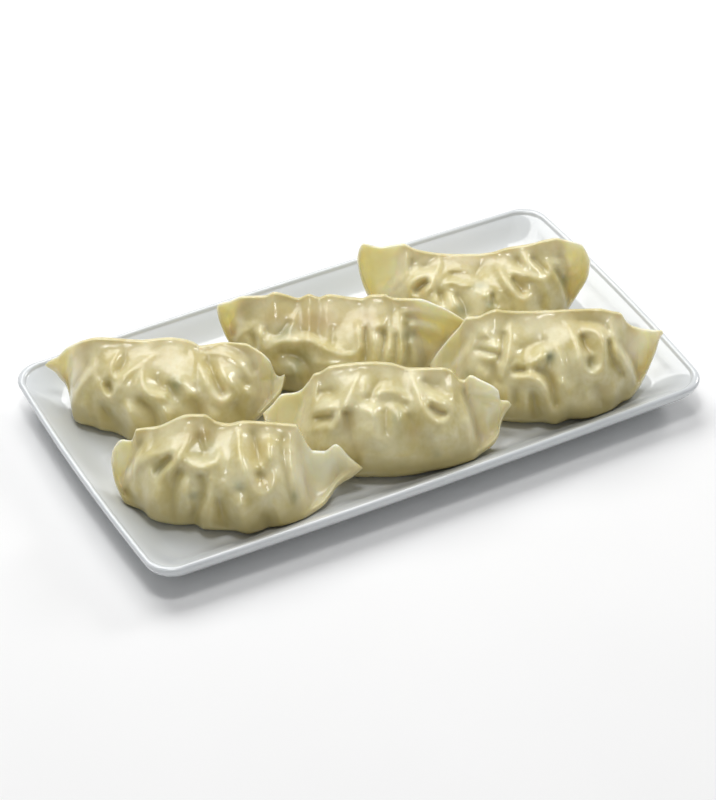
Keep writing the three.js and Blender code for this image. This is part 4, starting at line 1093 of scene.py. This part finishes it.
class DoughSettings(bpy.types.PropertyGroup):
    dough_colour: colour_of("Dough", "Boiled dough over the filling", (0.63, 0.55, 0.25))
    dough_pale: colour_of("Pale dough", "Paler patches of the dough", (0.79, 0.735, 0.465))
    # Paler than the dough, and brightened further as painted glow of light through the thin sheets.
    thin_and_glow_colour: colour_of("Thin dough", "Paler dough of the empty wings and the seam", (0.98, 0.915, 0.70))
    green_colour: colour_of("Leaf", "Green filling that shows through", (0.30, 0.33, 0.21))
    # Partly filling that shows through, partly painted shade over deep valleys; its broad bands darken the
    # upper face.
    brown_and_shade_colour: colour_of("Meat", "Brown filling that shows through", (0.50, 0.36, 0.14))
    # Painted shade in creases and along the foot; it also darkens a band towards the seam.
    painted_shade_colour: colour_of("Crease", "Deep creases and the shaded foot", (0.53, 0.44, 0.17))
    translucency: bpy.props.FloatProperty(
        name="Translucency", description="Least share of light that passes under the skin",
        default=0.62, min=0, max=1, subtype="FACTOR")


class StageSettings(bpy.types.PropertyGroup):
    floor_colour: colour_of("Floor", "Colour of the plain floor", (0.92, 0.92, 0.92))
    key_light: power_of("Key light", "Power of the soft light above and behind", 9.7)
    window_light: power_of("Window light", "Power of the low light at the right", 4.0)
    fill_light: power_of("Overhead light", "Power of the small light overhead", 3.7)
    surround: bpy.props.FloatProperty(
        name="Surround", description="Brightness of the white surround", default=0.285)


# --------------------------------------------------------------------------- stage
CAMERA_PLACE = (-0.40792, -0.76617, 0.71882)
CAMERA_TARGET = (-0.00669, -0.01188, 0.014)
FOCAL_LENGTH = 138.56
SENSOR = 36.0
CLIP_START = 0.05
CLIP_END = 20
FLOOR_SIZE = 6.0
LIGHT_TARGET = (0, 0, 0.02)
# Place and size of each light, in metres.
LIGHTS = {
    "key_light": ((0.05, 0.66, 0.97), (0.95, 0.75)),
    "window_light": ((1.16, 0.29, 0.73), (0.36, 0.30)),
    "fill_light": ((-0.15, -0.15, 1.25), (0.28, 0.22)),
}


def aim(thing, target):
    direction = Vector(target) - thing.location
    thing.rotation_euler = direction.to_track_quat("-Z", "Y").to_euler()


def add_floor(colour):
    bpy.ops.mesh.primitive_plane_add(size=FLOOR_SIZE, location=(0, 0, 0))
    floor = bpy.context.object
    floor.name = "floor"
    floor.data.materials.append(floor_material(colour))


def add_lights(settings):
    for name, (place, size) in LIGHTS.items():
        bpy.ops.object.light_add(type="AREA", location=place)
        lamp = bpy.context.object
        lamp.name = name
        lamp.data.shape = "RECTANGLE"
        lamp.data.size, lamp.data.size_y = size
        lamp.data.energy = getattr(settings, name)
        aim(lamp, LIGHT_TARGET)


def add_surround(scene, strength):
    world = bpy.data.worlds.new("white_surround")
    world.use_nodes = True
    background = world.node_tree.nodes["Background"]
    background.inputs["Color"].default_value = (1, 1, 1, 1)
    background.inputs["Strength"].default_value = strength
    scene.world = world


def add_camera(scene):
    bpy.ops.object.camera_add(location=CAMERA_PLACE)
    camera = bpy.context.object
    camera.data.lens = FOCAL_LENGTH
    camera.data.sensor_width = SENSOR
    camera.data.clip_start = CLIP_START
    camera.data.clip_end = CLIP_END
    aim(camera, CAMERA_TARGET)
    scene.camera = camera


# ----------------------------------------------------------------------- operators
class DUMPLINGS_OT_plate(bpy.types.Operator):
    """Make the rectangular porcelain plate"""
    bl_idname = "dumplings.plate"
    bl_label = "Porcelain plate"

    def execute(self, context):
        select_only()
        settings = context.scene.dumplings_plate
        make_plate(settings, porcelain_material(settings))
        return {"FINISHED"}


class DUMPLINGS_OT_dumplings(bpy.types.Operator):
    """Make the six pleated dumplings"""
    bl_idname = "dumplings.dumplings"
    bl_label = "Boiled dumplings"

    def execute(self, context):
        material = dough_material(context.scene.dumplings_dough)
        for seed, (name, spec) in enumerate(DUMPLINGS.items()):
            select_only()
            make_dumpling(name, spec, seed, material)
        return {"FINISHED"}


class DUMPLINGS_OT_stage(bpy.types.Operator):
    """Make the floor, the lights and the camera"""
    bl_idname = "dumplings.stage"
    bl_label = "Stage"

    def execute(self, context):
        scene = context.scene
        settings = scene.dumplings_stage
        select_only()
        add_floor(settings.floor_colour)
        add_lights(settings)
        add_surround(scene, settings.surround)
        add_camera(scene)
        scene.view_settings.view_transform = "Standard"
        scene.view_settings.look = "None"
        return {"FINISHED"}


class DUMPLINGS_PT_sidebar(bpy.types.Panel):
    """Sizes, colours and makers of the dumplings and their plate"""
    bl_idname = "DUMPLINGS_PT_sidebar"
    bl_label = "Dumplings"
    bl_space_type = "VIEW_3D"
    bl_region_type = "UI"
    bl_category = "Dumplings"

    def draw(self, context):
        scene = context.scene
        for title, settings, maker in (
                ("Plate", scene.dumplings_plate, DUMPLINGS_OT_plate),
                ("Dumplings", scene.dumplings_dough, DUMPLINGS_OT_dumplings),
                ("Stage", scene.dumplings_stage, DUMPLINGS_OT_stage)):
            box = self.layout.box()
            box.label(text=title)
            for label in settings.__annotations__:
                box.prop(settings, label)
            box.operator(maker.bl_idname)


CLASSES = (PlateSettings, DoughSettings, StageSettings, DUMPLINGS_OT_plate, DUMPLINGS_OT_dumplings,
           DUMPLINGS_OT_stage, DUMPLINGS_PT_sidebar)


def register():
    for kind in CLASSES:
        bpy.utils.register_class(kind)
    bpy.types.Scene.dumplings_plate = bpy.props.PointerProperty(type=PlateSettings)
    bpy.types.Scene.dumplings_dough = bpy.props.PointerProperty(type=DoughSettings)
    bpy.types.Scene.dumplings_stage = bpy.props.PointerProperty(type=StageSettings)


def unregister():
    del bpy.types.Scene.dumplings_stage
    del bpy.types.Scene.dumplings_dough
    del bpy.types.Scene.dumplings_plate
    for kind in reversed(CLASSES):
        bpy.utils.unregister_class(kind)


def main():
    register()
    bpy.ops.dumplings.plate()
    bpy.ops.dumplings.dumplings()
    bpy.ops.dumplings.stage()


if __name__ == "__main__":
    main()
